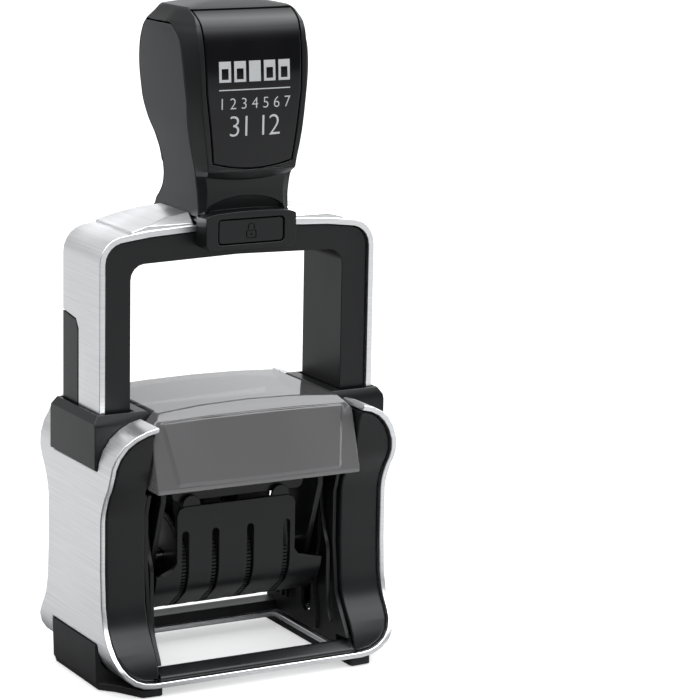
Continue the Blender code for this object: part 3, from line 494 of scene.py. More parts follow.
def rounded(corners, steps=6):
    """Closed outline through corners (x, y, radius), each one rounded by its radius."""
    outline = []
    for index, (x, y, radius) in enumerate(corners):
        corner = Vector((x, y))
        if radius <= 0:
            outline.append((x, y))
            continue
        back = (Vector(corners[index - 1][:2]) - corner).normalized()
        ahead = (Vector(corners[(index + 1) % len(corners)][:2]) - corner).normalized()
        half = back.angle(ahead) / 2
        middle = corner + (back + ahead).normalized() * (radius / math.sin(half))
        first = corner + back * (radius / math.tan(half)) - middle
        last = corner + ahead * (radius / math.tan(half)) - middle
        turn = math.atan2(first.x * last.y - first.y * last.x, first.dot(last))
        for step in range(steps + 1):
            angle = turn * step / steps
            cosine, sine = math.cos(angle), math.sin(angle)
            outline.append((middle.x + first.x * cosine - first.y * sine,
                            middle.y + first.x * sine + first.y * cosine))
    return outline

def rounded_box(half, low, high, radius, steps=6):
    """Outline of a rectangle with round corners, from -half to half and from low to high."""
    corners = [(-half, low), (half, low), (half, high), (-half, high)]
    return rounded([(u, v, radius) for u, v in corners], steps)


def half_turn():
    """Angles round a half circle."""
    return [math.pi * step / 24 for step in range(25)]


def smooth_table(rows, steps):
    """Rows of a table read at finer steps along monotone cubic curves."""
    table = np.array(rows, float)
    count = len(table)
    slope = np.diff(table, axis=0)
    tangent = np.zeros_like(table)
    product = slope[:-1] * slope[1:]
    safe = np.where(np.abs(slope[:-1] + slope[1:]) < 1e-9, 1.0, slope[:-1] + slope[1:])
    tangent[1:-1] = np.where(product > 0, 2 * product / safe, 0.0)
    tangent[0], tangent[-1] = slope[0], slope[-1]
    fine = []
    for index in range(count - 1):
        for step in range(steps):
            t = step / steps
            start = (2 * t ** 3 - 3 * t ** 2 + 1) * table[index] + (t ** 3 - 2 * t ** 2 + t) * tangent[index]
            end = (3 * t ** 2 - 2 * t ** 3) * table[index + 1] + (t ** 3 - t ** 2) * tangent[index + 1]
            fine.append(start + end)
    fine.append(table[-1])
    return np.array(fine)


def skin(name, rings, closed=False):
    """A skin over rings of points in millimetres: capped at both ends, or joined into a loop."""
    build = bmesh.new()
    rows = [[build.verts.new([c * MM for c in point]) for point in ring] for ring in rings]
    pairs = list(zip(rows, rows[1:]))
    if closed:
        pairs.append((rows[-1], rows[0]))
    for lower, upper in pairs:
        for index in range(len(lower)):
            following = (index + 1) % len(lower)
            build.faces.new((lower[index], lower[following], upper[following], upper[index]))
    if not closed:
        build.faces.new(list(reversed(rows[0])))
        build.faces.new(rows[-1])
    return finish_mesh(name, build)


def finish_mesh(name, build, merge=0.0005):
    """Merges doubles, turns every face outwards and returns the mesh."""
    bmesh.ops.remove_doubles(build, verts=build.verts, dist=merge * MM)
    bmesh.ops.dissolve_degenerate(build, edges=build.edges, dist=merge * MM)
    bmesh.ops.recalc_face_normals(build, faces=build.faces)
    mesh = bpy.data.meshes.new(name)
    build.to_mesh(mesh)
    build.free()
    return mesh


AXIS_FRAMES = {
    "X": Matrix(((0, 0, 1), (1, 0, 0), (0, 1, 0))),
    "Y": Matrix(((1, 0, 0), (0, 0, -1), (0, 1, 0))),
    "Z": Matrix.Identity(3),
}


def slab(name, loops, axis, low, high):
    """A flat outline with holes, thickened along an axis from low to high."""
    curve = bpy.data.curves.new(name, "CURVE")
    curve.dimensions = "2D"
    curve.fill_mode = "BOTH"
    curve.extrude = (high - low) / 2 * MM
    for loop in loops:
        spline = curve.splines.new("POLY")
        spline.points.add(len(loop) - 1)
        for point, (u, v) in zip(spline.points, loop):
            point.co = (u * MM, v * MM, 0.0, 1.0)
        spline.use_cyclic_u = True
    shift = {"X": (1, 0, 0), "Y": (0, 1, 0), "Z": (0, 0, 1)}[axis]
    place = Matrix.Translation(Vector(shift) * ((low + high) / 2 * MM)) @ AXIS_FRAMES[axis].to_4x4()
    return curve_mesh(name, curve, place)


def curve_mesh(name, curve, place):
    """A curve or text made a plain closed mesh, with its place applied."""
    mesh = take_mesh(add_object(name, curve))
    build = bmesh.new()
    build.from_mesh(mesh)
    bpy.data.meshes.remove(mesh)
    bmesh.ops.transform(build, matrix=place, verts=build.verts)
    bmesh.ops.dissolve_limit(build, angle_limit=math.radians(0.5), verts=build.verts, edges=build.edges)
    return finish_mesh(name, build, 0.01)


def cut(mesh, *cutters):
    """The mesh after exact booleans with (mesh, operation) pairs."""
    target = add_object("cut_target", mesh)
    helpers = []
    for other, operation in cutters:
        helper = add_object("cut_helper", other)
        helpers.append(helper)
        modifier = target.modifiers.new("cut", "BOOLEAN")
        modifier.operation = operation
        modifier.solver = "EXACT"
        modifier.object = helper
    result = take_mesh(target)
    for helper in helpers:
        bpy.data.objects.remove(helper)
    result.materials.clear()
    return result


def round_edges(obj, width, segments, angle):
    """A bevel on the edges that are sharper than an angle."""
    modifier = obj.modifiers.new("edges", "BEVEL")
    modifier.width, modifier.segments = width * MM, segments
    modifier.limit_method = "ANGLE"
    modifier.angle_limit = math.radians(angle)
    modifier.use_clamp_overlap = False
    return modifier


def soften(mesh, width, segments, angle):
    """The mesh with its sharp edges rounded."""
    obj = add_object("soften", mesh)
    round_edges(obj, width, segments, angle)
    return take_mesh(obj)


def flatten(mesh, angle=0.6):
    """Joins the flat triangles of a mesh into whole faces."""
    build = bmesh.new()
    build.from_mesh(mesh)
    bmesh.ops.remove_doubles(build, verts=build.verts, dist=0.002 * MM)
    bmesh.ops.dissolve_limit(build, angle_limit=math.radians(angle), verts=build.verts, edges=build.edges)
    result = bpy.data.meshes.new(mesh.name)
    build.to_mesh(result)
    build.free()
    return result


def piece(name, mesh, body, slot, bevel=0.0, segments=2, angle=35, material=None):
    """Puts a mesh in the scene as a piece: edges rounded, shaded smooth, riding on its body.

    Its material is the one named like its slot, unless another one is given.
    """
    obj = add_object(name, mesh)
    mesh.shade_smooth()
    mesh.set_sharp_from_angle(angle=math.radians(angle))
    if bevel:
        round_edges(obj, bevel, segments, angle).miter_outer = "MITER_ARC"
    weigh = obj.modifiers.new("normals", "WEIGHTED_NORMAL")
    weigh.keep_sharp = not bevel
    mesh.materials.clear()
    mesh.materials.append(MATERIALS[material or slot])
    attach(obj, body)
    return obj


def finish(node, mesh, **edges):
    """The finished piece that stands for a CAD node: on its body, in its material slot."""
    source = frame["nodes"][node]
    obj = piece(node + "_finished", mesh, source["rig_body"], SLOT_OF_NODE[node], **edges)
    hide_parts(node)
    return obj


def refine(node, bevel):
    """A CAD node's own shape with rounded edges and smooth shading."""
    mesh = flatten(frame["nodes"][node].data)
    mesh.name = node + "_skin"
    finish(node, mesh, bevel=bevel)


# ---------------------------------------- handle

# One level of the handle, in the columns of the tables above
Station = namedtuple("Station", "side face front front_edge rear_edge rear")


class Handle:
    """The handle's outer surface, and points at a depth under it."""

    def __init__(self):
        neck, head = smooth_table(NECK, 5), smooth_table(NOSE[-1:] + HEAD, 6)
        self.rows = np.vstack([neck, NOSE[:-1], head, CROWN])

    def at(self, height):
        """The station at a height."""
        heights = self.rows[:, 0]
        return Station(*[float(np.interp(height, heights, self.rows[:, column])) for column in range(1, 7)])

    def front_point(self, x, height):
        """A point of the front face, whose nose hangs lower in the middle."""
        here = self.at(height)
        crown = 1 - min((x / here.face) ** 2, 1.0)
        drop = NOSE_BOW * crown * float(np.interp(height, NOSE_BOW_HEIGHTS, [0.0, 1.0, 0.0]))
        return Vector((x, here.front - FACE_SWELL * crown, height - drop))

    def side_point(self, y, height):
        """A point of the right side."""
        here = self.at(height)
        share = (2 * y - here.front_edge - here.rear_edge) / (here.rear_edge - here.front_edge)
        swell = FACE_SWELL * float(np.interp(height, SIDE_SWELL_HEIGHTS, [1.0, 0.0]))
        return Vector((here.side + swell * (1 - share ** 2), y, height))

    def inside(self, surface, along, height, depth):
        """A point of a surface moved inwards by a depth, square to the surface round it."""
        here = surface(along, height)
        across = surface(along + 0.05, height) - surface(along - 0.05, height)
        upwards = surface(along, height + 0.4) - surface(along, height - 0.4)
        normal = across.cross(upwards).normalized()
        if normal.dot(Vector((here.x, here.y, 0.001))) > 0:
            normal.negate()
        return here + normal * depth

    def front_inside(self, x, height, depth):
        return self.inside(self.front_point, x, height, depth)

    def side_inside(self, y, height, depth):
        return self.inside(self.side_point, y, height, depth)


def window_width(height):
    """Half-width of the window's hollow at a height above its lower edge."""
    return float(np.interp(height, WINDOW_LEVELS, WINDOW_HALVES))


def window_half(height):
    """Half-width of the window's hollow, which closes to nothing at its bowed lower edge."""
    if height <= WINDOW_LOW:
        return 0.0
    rise = min((height - WINDOW_LOW) / WINDOW_BOW, 1.0)
    return window_width(height) * math.sqrt(rise)


def core_ring(handle, height, window, grips):
    """One level of the handle's core, with the hollows for the window and the grips."""
    here = handle.at(height)
    window_depth = WINDOW_WALL + GAP if window else 0.0
    grip_depth = GRIP_WALL + GAP if grips else 0.0
    # The hollow keeps a little width, so that every ring has the same points
    half = max(window_half(height), 0.4) if window else here.face * 0.8
    half = min(half, here.face - 0.05)
    right = [handle.front_inside(half * share, height, window_depth) for share in (0.0, 0.35, 0.7, 1.0)]
    right.append(handle.front_point(half, height))
    right.append(handle.front_point(here.face, height))
    right.append(handle.side_point(here.front_edge, height))
    for share in (0.0, 0.25, 0.5, 0.75, 1.0):
        y = here.front_edge + (here.rear_edge - here.front_edge) * share
        right.append(handle.side_inside(y, height, grip_depth))
    right.append(handle.side_point(here.rear_edge, height))
    right.append(Vector((here.face, here.rear, height)))
    right.append(Vector((here.face * 0.5, here.rear + FACE_SWELL * 0.75, height)))
    right = [tuple(point) for point in right]
    left = [(-x, y, z) for x, y, z in reversed(right[1:])]
    return right + [(0.0, here.rear + FACE_SWELL, height)] + left


def patch(name, rows):
    """A closed shell from rows of (outer point, inner point) pairs."""
    build = bmesh.new()
    grid = [[[build.verts.new(Vector(p) * MM) for p in pair] for pair in row] for row in rows]
    high, wide = len(grid), len(grid[0])
    for layer in (0, 1):
        for i in range(high - 1):
            for j in range(wide - 1):
                build.faces.new([grid[i][j][layer], grid[i][j + 1][layer],
                                 grid[i + 1][j + 1][layer], grid[i + 1][j][layer]])
    border = [(0, j) for j in range(wide)] + [(i, wide - 1) for i in range(1, high)]
    border += [(high - 1, j) for j in range(wide - 2, -1, -1)] + [(i, 0) for i in range(high - 2, 0, -1)]
    for (i, j), (k, l) in zip(border, border[1:] + border[:1]):
        build.faces.new([grid[i][j][0], grid[i][j][1], grid[k][l][1], grid[k][l][0]])
    return finish_mesh(name, build)


def button_outline(margin, radius):
    """Front view of a lock button, or of its room with a margin round it."""
    return rounded_box(BUTTON_HALF + margin, BUTTON_LOW - margin, BUTTON_HIGH + margin, radius)


def core_heights(handle):
    """Levels of the core: close together where a hollow starts or ends and under the window's bowed edge."""
    heights = set(float(height) for height in handle.rows[:, 0])
    heights.update(WINDOW_LOW + WINDOW_BOW * (step / 8) ** 2 for step in range(1, 9))
    heights.update([WINDOW_LOW - HOLLOW_STEP, WINDOW_HIGH, WINDOW_HIGH + HOLLOW_STEP])
    heights.update([GRIP_LOW - HOLLOW_STEP, GRIP_LOW, GRIP_HIGH, GRIP_HIGH + HOLLOW_STEP])
    return sorted(heights)


def neck_recess():
    """Cutter for the leaning recess above the front lock button."""
    outline = [(-RECESS_HALF, RECESS_LOW), (RECESS_HALF, RECESS_LOW)]
    outline += [(RECESS_HALF * math.cos(angle), RECESS_ARCH + RECESS_RISE * math.sin(angle))
                for angle in half_turn()]
    hollow = slab("recess", [outline], "Y", -CUT_FRONT, RECESS_FLOOR)
    for vert in hollow.vertices:
        vert.co.y -= max(vert.co.z - RECESS_BEND * MM, 0.0) * RECESS_LEAN
    return hollow


def button_block(facing):
    """The block round a lock button: arched on top in front, with cut corners at the rear."""
    if facing < 0:
        top = [(BLOCK_HALF * math.cos(angle), BLOCK_ARCH_LOW + BLOCK_ARCH_RISE * math.sin(angle) ** 0.8)
               for angle in half_turn()]
    else:
        shoulder = BLOCK_HALF - BLOCK_SHOULDER
        top = [(BLOCK_HALF, BLOCK_HIGH - BLOCK_SHOULDER), (shoulder, BLOCK_HIGH),
               (-shoulder, BLOCK_HIGH), (-BLOCK_HALF, BLOCK_HIGH - BLOCK_SHOULDER)]
    far_above = (0, 500, 0)
    foot = [(-BLOCK_HALF, BLOCK_LOW, BLOCK_CORNER), (BLOCK_HALF, BLOCK_LOW, BLOCK_CORNER), far_above]
    near, far = sorted((facing * BLOCK_BACK, facing * BLOCK_FRONT))
    return slab("block", [rounded(foot)[:-1] + top], "Y", near, far)


def build_handle(handle):
    """The handle's core, with the blocks and rooms of the lock buttons."""
    rings = []
    for height in core_heights(handle):
        window = WINDOW_LOW < height <= WINDOW_HIGH
        grips = GRIP_LOW <= height <= GRIP_HIGH
        rings.append(core_ring(handle, height, window, grips))
    core = skin("handle_core_skin", rings)
    steps = [(neck_recess(), "DIFFERENCE")]
    for facing in (-1, 1):
        near, far = sorted((facing * ROOM_BACK, facing * CUT_FRONT))
        steps.append((button_block(facing), "UNION"))
        steps.append((slab("room", [button_outline(GAP, 1.0)], "Y", near, far), "DIFFERENCE"))
    finish("handle_core", cut(core, *steps), bevel=0.14, angle=20)


def build_window(handle):
    """The window: a thin shell that follows the handle's front and rolls over its top."""
    low, high = WINDOW_LOW + GAP, WINDOW_HIGH - GAP
    rows = []
    for step in range(61):
        level = low + (high - low) * step / 60
        row = []
        for share in (-1.0, -0.97, -0.8, -0.6, -0.4, -0.2, 0.0, 0.2, 0.4, 0.6, 0.8, 0.97, 1.0):
            height = level + WINDOW_BOW * share ** 2 * (high - level) / (high - low)
            x = (window_width(height) - GAP) * share
            row.append((handle.front_point(x, height), handle.front_inside(x, height, WINDOW_WALL)))
        rows.append(row)
    finish("handle_window", patch("window_skin", rows), bevel=0.2, angle=40)


def build_grips(handle):
    """The two softer pads let into the sides of the handle."""
    low, high = GRIP_LOW + GAP, GRIP_HIGH - GAP
    for name, side in (("left", -1), ("right", 1)):
        rows = []
        for step in range(57):
            height = low + (high - low) * step / 56
            here = handle.at(height)
            front, rear = here.front_edge + GAP, here.rear_edge - GAP
            row = []
            for k in range(9):
                y = front + (rear - front) * k / 8
                outer, inner = handle.side_point(y, height), handle.side_inside(y, height, GRIP_WALL)
                outer.x *= side
                inner.x *= side
                row.append((outer, inner))
            rows.append(row)
        finish("grip_" + name, patch("grip_skin_" + name, rows), bevel=0.25, segments=3, angle=40)


def padlock_sign(middle):
    """Outlines of a padlock: the rim of its case, its shackle and its keyhole."""
    case = rounded_box(1.3, middle - 1.75, middle + 0.2, 0.3, 3)
    inside = rounded_box(1.05, middle - 1.5, middle - 0.05, 0.15, 3)
    ring, outer, inner, foot = middle + 0.9, 0.9, 0.65, middle + 0.35
    shackle = arc((0, ring), outer, 0, 180, 10) + [(-outer, foot), (-inner, foot)]
    shackle += arc((0, ring), inner, 180, 0, 10) + [(inner, foot), (outer, foot)]
    keyhole = arc((0, middle - 0.8), 0.26, 0, 360, 12)[:-1]
    return [case, inside], [shackle], [keyhole]


def build_buttons():
    """Lock buttons with an engraved padlock sign."""
    middle = (BUTTON_LOW + BUTTON_HIGH) / 2
    for name, facing in (("front", -1), ("rear", 1)):
        face = facing * BUTTON_FRONT
        near, far = sorted((facing * BUTTON_BACK, face))
        button = slab("button", [button_outline(0.0, 0.8)], "Y", near, far)
        low, high = sorted((face - facing * SIGN_DEPTH, face + facing * 0.5))
        signs = [slab("sign", loops, "Y", low, high) for loops in padlock_sign(middle)]
        mesh = cut(soften(button, 0.18, 3, 40), *[(sign, "DIFFERENCE") for sign in signs])
        finish("lock_button_" + name, mesh, angle=24)


def bar(low_x, low_z, high_x, high_z, steps=12):
    """A flat printed bar, with enough points along it to follow a curved face."""
    corners = [(-PRINT_THICK, low_z), (PRINT_THICK, low_z), (PRINT_THICK, high_z), (-PRINT_THICK, high_z)]
    line = [low_x + (high_x - low_x) * k / steps for k in range(steps + 1)]
    return skin("bar", [[(x, y, z) for y, z in corners] for x in line])


def letters(text, height, middle, spacing, weight):
    """Plain digits as a flat outline mesh, centred on a point (x, z) in millimetres."""
    curve = bpy.data.curves.new("digits", "FONT")
    curve.body = text
    curve.size = height * DIGIT_SIZE * MM
    curve.space_character = spacing
    curve.align_x = "CENTER"
    curve.extrude = PRINT_THICK * MM
    curve.offset = weight * MM
    curve.resolution_u = 4
    place = Matrix.Translation((middle[0] * MM, 0, (middle[1] - height / 2) * MM)) @ AXIS_FRAMES["Y"].to_4x4()
    return curve_mesh("digits", curve, place)


def week_strip():
    """Bars of a row of five squares, the middle one filled."""
    low, hole_low, hole_high, high = SQUARE_LEVELS
    bars = []
    for k in range(5):
        x = -2 * SQUARE_STEP + SQUARE_STEP * k
        left, right = x - SQUARE_HALF, x + SQUARE_HALF
        if k == 2:
            bars.append((left, low, right, high))
        else:
            bars += [(left, low, right, hole_low), (left, hole_low, x - SQUARE_HOLE_HALF, hole_high),
                     (x + SQUARE_HOLE_HALF, hole_low, right, hole_high), (left, hole_high, right, high)]
    return bars


def build_print(handle):
    """Generic print on the window's face: a week strip, a rule, a row of days and a date."""
    marks = [bar(*sides) for sides in week_strip() + [RULE]]
    marks.append(letters("1 2 3 4 5 6 7", 2.6, (0, 132.9), 0.98, -0.04))
    marks.append(letters("31 12", 4.9, (0, 127.9), 0.85, -0.09))
    build = bmesh.new()
    for mark in marks:
        build.from_mesh(mark)
    for vert in build.verts:
        surface = handle.front_point(vert.co.x / MM, vert.co.z / MM)
        vert.co.y += (surface.y - PRINT_DEPTH) * MM
    mesh = finish_mesh("window_print", build)
    piece("window_print", mesh, "bow", "gloss_black", material="print_grey")


# ---------------------------------------- springs and ink pad

def build_springs():
    """Return springs of coiled wire, built at their full length; in the real stamp they shorten as the bow
    goes down.
    """
    low, high = SPRING_FOOT + SPRING_WIRE, SPRING_TOP - SPRING_WIRE
    steps = SPRING_TURNS * SPRING_STEPS
    for name, side in (("left", -1), ("right", 1)):
        rings = []
        for index in range(steps + 1):
            turn = math.tau * index / SPRING_STEPS
            outwards = Vector((math.cos(turn), math.sin(turn), 0))
            centre = Vector((side * SPRING_X, SPRING_Y, low + (high - low) * index / steps))
            centre += outwards * SPRING_RADIUS
            ring = []
            for k in range(WIRE_SIDES):
                angle = k * math.tau / WIRE_SIDES
                rise = Vector((0, 0, SPRING_WIRE * math.sin(angle)))
                ring.append(tuple(centre + outwards * SPRING_WIRE * math.cos(angle) + rise))
            rings.append(ring)
        node = "return_spring_" + name
        spring = finish(node, skin(node + "_skin", rings), angle=60)
        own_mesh(spring)


def build_ink_pad():
    """Inked felt cushion with soft edges, slightly fuller in the middle of its lower face."""
    rings = []
    for height, inset in PAD_PROFILE:
        half_x, half_y = PAD_HALF_X - inset, PAD_HALF_Y - inset
        outline = rounded_box(half_x, -half_y, half_y, max(PAD_CORNER - inset * 0.3, 0.3))
        rings.append([(x, y, height) for x, y in outline])
    pad = finish("ink_pad", skin("ink_pad_skin", rings), angle=60)


# ---------------------------------------- base and drum details

def add_to(node, additions, bevel):
    """A CAD node's own shape with more bodies joined to it."""
    mesh = cut(flatten(frame["nodes"][node].data), *[(extra, "UNION") for extra in additions])
    finish(node, flatten(mesh), bevel=bevel)


def build_rear_sill():
    """Rear frame with the fuller sill behind the print opening."""
    add_to("rear_frame", [slab("rear_sill", [SILL_PROFILE], "X", -SILL_HALF, SILL_HALF)], 0.2)


def build_drum_lips():
    """Rear half of the drum with a lip under each of its fingers."""
    add_to("housing_rear", [slab("lip", [LIP_PROFILE], "X", low, high) for low, high in FINGER_SPANS], 0.15)


def build_wall_guides():
    """Side walls with guide rails and a curved rib on their inner faces."""
    line = smooth_table(RIB_LINE, 6)
    rib = [(float(y) - RIB_HALF, float(z)) for z, y in line]
    rib += [(float(y) + RIB_HALF, float(z)) for z, y in reversed(line)]
    outlines = [[(y, RAIL_LOW), (y + RAIL_WIDTH, RAIL_LOW), (y + RAIL_WIDTH, RAIL_HIGH), (y, RAIL_HIGH)]
                for y in RAIL_PLACES] + [rib]
    for name, side in (("left", -1), ("right", 1)):
        near, far = sorted((side * GUIDE_FACE, side * GUIDE_ROOT))
        add_to("side_wall_" + name, [slab("guide", [outline], "X", near, far) for outline in outlines], 0.12)


# ---------------------------------------- hood

def build_hood():
    """Clear smoky hood: the moulded cover with a raised panel on its front."""
    rings = []
    for out, grow in PANEL_LAYERS:
        ring = []
        for x, z in HOOD_PANEL:
            wide = x + grow * x / 22.0
            tall = z - grow if z < PANEL_MIDDLE_Z else z + grow * 0.5
            y = HOOD_FOOT_Y + (tall - HOOD_FOOT_Z) * HOOD_LEAN
            ring.append((wide, y + out * HOOD_OUT_Y, tall + out * HOOD_OUT_Z))
        rings.append(ring)
    mesh = cut(flatten(frame["nodes"]["hood"].data), (skin("hood_panel", rings), "UNION"))
    finish("hood", flatten(mesh, 0.3), bevel=0.32, segments=3, angle=20)


# ---------------------------------------- date wheels

def wheel_tree():
    """Geometry nodes: a ring of teeth round a disc."""
    tree = bpy.data.node_groups.new("toothed_rim", "GeometryNodeTree")
    face = tree.interface
    for label, kind in (("Geometry", "Geometry"), ("Teeth", "Int"), ("Radius", "Float"),
                        ("Tooth Height", "Float"), ("Tooth Width", "Float"), ("Thickness", "Float"),
                        ("Material", "Material")):
        face.new_socket(label, in_out="INPUT", socket_type="NodeSocket" + kind)
    face.new_socket("Geometry", in_out="OUTPUT", socket_type="NodeSocketGeometry")
    add = tree.nodes.new
    given, result = add("NodeGroupInput"), add("NodeGroupOutput")
    circle = add("GeometryNodeMeshCircle")
    size = add("ShaderNodeCombineXYZ")
    tooth = add("GeometryNodeMeshCube")
    turn = add("FunctionNodeAlignEulerToVector")
    turn.axis = "X"
    where = add("GeometryNodeInputPosition")
    copies = add("GeometryNodeInstanceOnPoints")
    real = add("GeometryNodeRealizeInstances")
    join = add("GeometryNodeJoinGeometry")
    paint = add("GeometryNodeSetMaterial")
    wire(tree, (given, "Teeth", circle, "Vertices"), (given, "Radius", circle, "Radius"),
         (given, "Tooth Height", size, "X"), (given, "Tooth Width", size, "Y"),
         (given, "Thickness", size, "Z"), (size, "Vector", tooth, "Size"),
         (where, "Position", turn, "Vector"), (circle, "Mesh", copies, "Points"),
         (tooth, "Mesh", copies, "Instance"), (turn, "Rotation", copies, "Rotation"),
         (copies, "Instances", real, "Geometry"), (given, "Geometry", join, "Geometry"),
         (real, "Geometry", join, "Geometry"), (join, "Geometry", paint, "Geometry"),
         (given, "Material", paint, "Material"), (paint, "Geometry", result, "Geometry"))
    return tree


def run_tree(tree, mesh, **values):
    """The plain mesh that a geometry node tree makes from a mesh."""
    obj = add_object("node_source", mesh)
    modifier = obj.modifiers.new("nodes", "NODES")
    modifier.node_group = tree
    for item in tree.interface.items_tree:
        if item.in_out == "INPUT" and item.name in values:
            modifier[item.identifier] = values[item.name]
    obj.update_tag()
    bpy.context.view_layer.update()
    return take_mesh(obj)


def wheel_disc(name, x, hub_end):
    """A turned disc with a groove on each face and a hub towards the right."""
    near, far = x - WHEEL_THICK / 2, x + WHEEL_THICK / 2
    groove = (GROOVE_IN + GROOVE_OUT) / 2
    profile = [(near, WHEEL_BORE), (near, GROOVE_IN), (near + GROOVE_DEPTH, groove), (near, GROOVE_OUT),
               (near, WHEEL_RIM), (far, WHEEL_RIM), (far, GROOVE_OUT), (far - GROOVE_DEPTH, groove),
               (far, GROOVE_IN), (far, HUB_RADIUS), (hub_end, HUB_RADIUS), (hub_end, WHEEL_BORE)]
    turns = [math.tau * step / WHEEL_STEPS for step in range(WHEEL_STEPS)]
    rings = [[(along, radius * math.cos(turn), AXLE_Z + radius * math.sin(turn)) for turn in turns]
             for along, radius in profile]
    return skin(name + "_disc", rings, closed=True)


def build_wheels():
    """Toothed date wheels, made flat round the origin and turned onto the axle."""
    tree = wheel_tree()
    sizes = {"Teeth": TEETH, "Radius": (WHEEL_RADIUS - TOOTH_HEIGHT / 2) * MM,
             "Tooth Height": TOOTH_HEIGHT * MM, "Tooth Width": TOOTH_WIDTH * MM,
             "Thickness": WHEEL_THICK * MM, "Material": MATERIALS["moulded_black"]}
    for number, (x, hub_end) in enumerate(zip(WHEEL_X, HUB_ENDS), 1):
        node = "date_wheel_%d" % number
        disc = wheel_disc(node, x, hub_end)
        flat = Matrix.Rotation(-math.pi / 2, 4, "Y") @ Matrix.Translation((-x * MM, 0, -AXLE_Z * MM))
        disc.transform(flat)
        mesh = run_tree(tree, disc, **sizes)
        mesh.transform(flat.inverted())
        finish(node, mesh, angle=30)


# ---------------------------------------- other pieces

def refine_others():
    """Every CAD node that nothing stands for yet keeps its shape and gets rounded edges."""
    for node, source in frame["nodes"].items():
        if not source.hide_render and node != "index_card":
            refine(node, EDGES.get(node, EDGE))


def dress_card():
    """The card under the window stays as the CAD has it, in its own material."""
    card = frame["nodes"]["index_card"].data
    card.materials.clear()
    card.materials.append(MATERIALS["card"])


# ---------------------------------------- set-up

def build_camera():
    """Camera at the front left, slightly above the object."""
    place, aim = Vector(CAMERA_PLACE) * MM, Vector(CAMERA_AIM) * MM
    ahead = (aim - place).normalized()
    right = ahead.cross(Vector((0, 0, 1))).normalized()
    up = right.cross(ahead)
    roll = math.radians(CAMERA_ROLL)
    side = right * math.cos(roll) + up * math.sin(roll)
    top = up * math.cos(roll) - right * math.sin(roll)
    camera = add_object("camera", bpy.data.cameras.new("camera"))
    camera.matrix_world = Matrix.Translation(place) @ Matrix((side, top, -ahead)).transposed().to_4x4()
    camera.data.lens = CAMERA_LENS
    camera.data.shift_x, camera.data.shift_y = CAMERA_SHIFT
    bpy.context.scene.camera = camera


def softbox(name, place, aim, size, power):
    """A rectangular area light that looks at a point."""
    data = bpy.data.lights.new(name, "AREA")
    data.shape = "RECTANGLE"
    data.size, data.size_y = size
    data.energy = power
    light = add_object(name, data)
    light.location = place
    light.rotation_euler = (Vector(aim) - Vector(place)).to_track_quat("-Z", "Y").to_euler()


def floor_material():
    """White floor with a slight glow for the camera.

    Glossy surfaces see it dark, as in a black studio, with one bright area behind the left side of the
    object and one in front of the right side.
    """
    material, tree, shader = new_material("floor_white", Roughness=0.9, Specular_IOR_Level=0.0,
                                          Emission_Color=(1.0, 1.0, 1.0, 1.0))
    place = tree.nodes.new("ShaderNodeTexCoord")
    split = tree.nodes.new("ShaderNodeSeparateXYZ")
    path = tree.nodes.new("ShaderNodeLightPath")
    tree.links.new(place.outputs["Object"], split.inputs["Vector"])
    share = FLOOR_DARK
    for x_from, x_to, y_from, y_to, amount in FLOOR_AREAS:
        along = in_range(tree, split.outputs["X"], x_from, x_to)
        across = in_range(tree, split.outputs["Y"], y_from, y_to, 0.0, amount)
        area = reckon(tree, "MULTIPLY", along.outputs["Result"], across.outputs["Result"])
        share = reckon(tree, "ADD", area, share)
    white = choose(tree, path.outputs["Is Glossy Ray"], FLOOR_WHITE, share)
    grey = tree.nodes.new("ShaderNodeCombineColor")
    for channel in ("Red", "Green", "Blue"):
        tree.links.new(white, grey.inputs[channel])
    tree.links.new(grey.outputs["Color"], shader.inputs["Base Color"])
    glow = in_range(tree, path.outputs["Is Camera Ray"], 0.0, 1.0, 0.0, FLOOR_GLOW)
    tree.links.new(glow.outputs["Result"], shader.inputs["Emission Strength"])
    return material


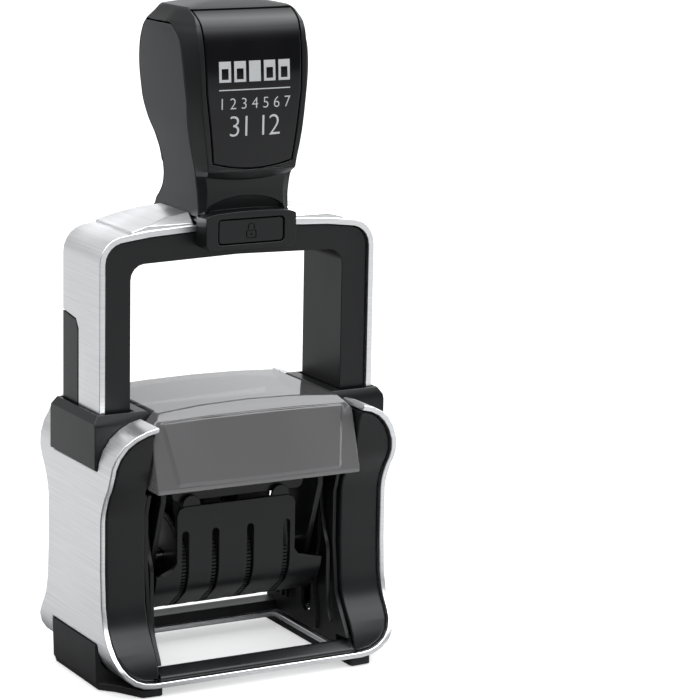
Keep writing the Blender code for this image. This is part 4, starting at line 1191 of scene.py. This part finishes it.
def build_sky():
    """White sky for the camera and for soft light.

    Glossy surfaces see a studio that is dark in front, brighter behind and towards the right, with a bright
    patch overhead.
    """
    world = bpy.data.worlds.new("studio")
    bpy.context.scene.world = world
    world.use_nodes = True
    sky = world.node_tree
    back = sky.nodes["Background"]
    back.inputs["Color"].default_value = (0.98, 0.99, 1.0, 1.0)
    place = sky.nodes.new("ShaderNodeTexCoord")
    split = sky.nodes.new("ShaderNodeSeparateXYZ")
    path = sky.nodes.new("ShaderNodeLightPath")
    sky.links.new(place.outputs["Generated"], split.inputs["Vector"])
    behind = in_range(sky, split.outputs["Y"], -0.1, 0.75, 0.08, 1.15)
    sideways = in_range(sky, split.outputs["X"], -0.05, 0.42, 0.5, 0.95)
    rise = in_range(sky, split.outputs["Z"], 0.25, 0.9, 0.0, 5.0)
    rise.interpolation_type = "SMOOTHSTEP"
    ahead = in_range(sky, split.outputs["Y"], 0.55, 0.1)
    walls = reckon(sky, "MULTIPLY", behind.outputs["Result"], sideways.outputs["Result"])
    overhead = reckon(sky, "MULTIPLY", rise.outputs["Result"], ahead.outputs["Result"])
    seen = reckon(sky, "ADD", walls, overhead)
    soft = choose(sky, path.outputs["Is Glossy Ray"], 0.95, seen)
    strength = choose(sky, path.outputs["Is Camera Ray"], soft, 1.0)
    sky.links.new(strength, back.inputs["Strength"])


def build_studio():
    """Floor, sky and lights."""
    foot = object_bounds()[0].z
    build = bmesh.new()
    bmesh.ops.create_grid(build, x_segments=2, y_segments=2, size=FLOOR_HALF)
    bmesh.ops.translate(build, verts=build.verts, vec=(0, 0, foot - FLOOR_DROP))
    mesh = bpy.data.meshes.new("floor")
    build.to_mesh(mesh)
    build.free()
    floor = add_object("floor", mesh)
    mesh.materials.append(floor_material())
    build_sky()
    for light in LIGHTS:
        softbox(*light)
    bpy.context.scene.view_settings.view_transform = "Standard"


# ---------------------------------------- all pieces

build_camera()
handle_surface = Handle()
build_handle(handle_surface)
build_window(handle_surface)
build_grips(handle_surface)
build_print(handle_surface)
build_buttons()
build_hood()
build_springs()
build_ink_pad()
build_rear_sill()
build_drum_lips()
build_wall_guides()
build_wheels()
refine_others()
dress_card()
build_studio()
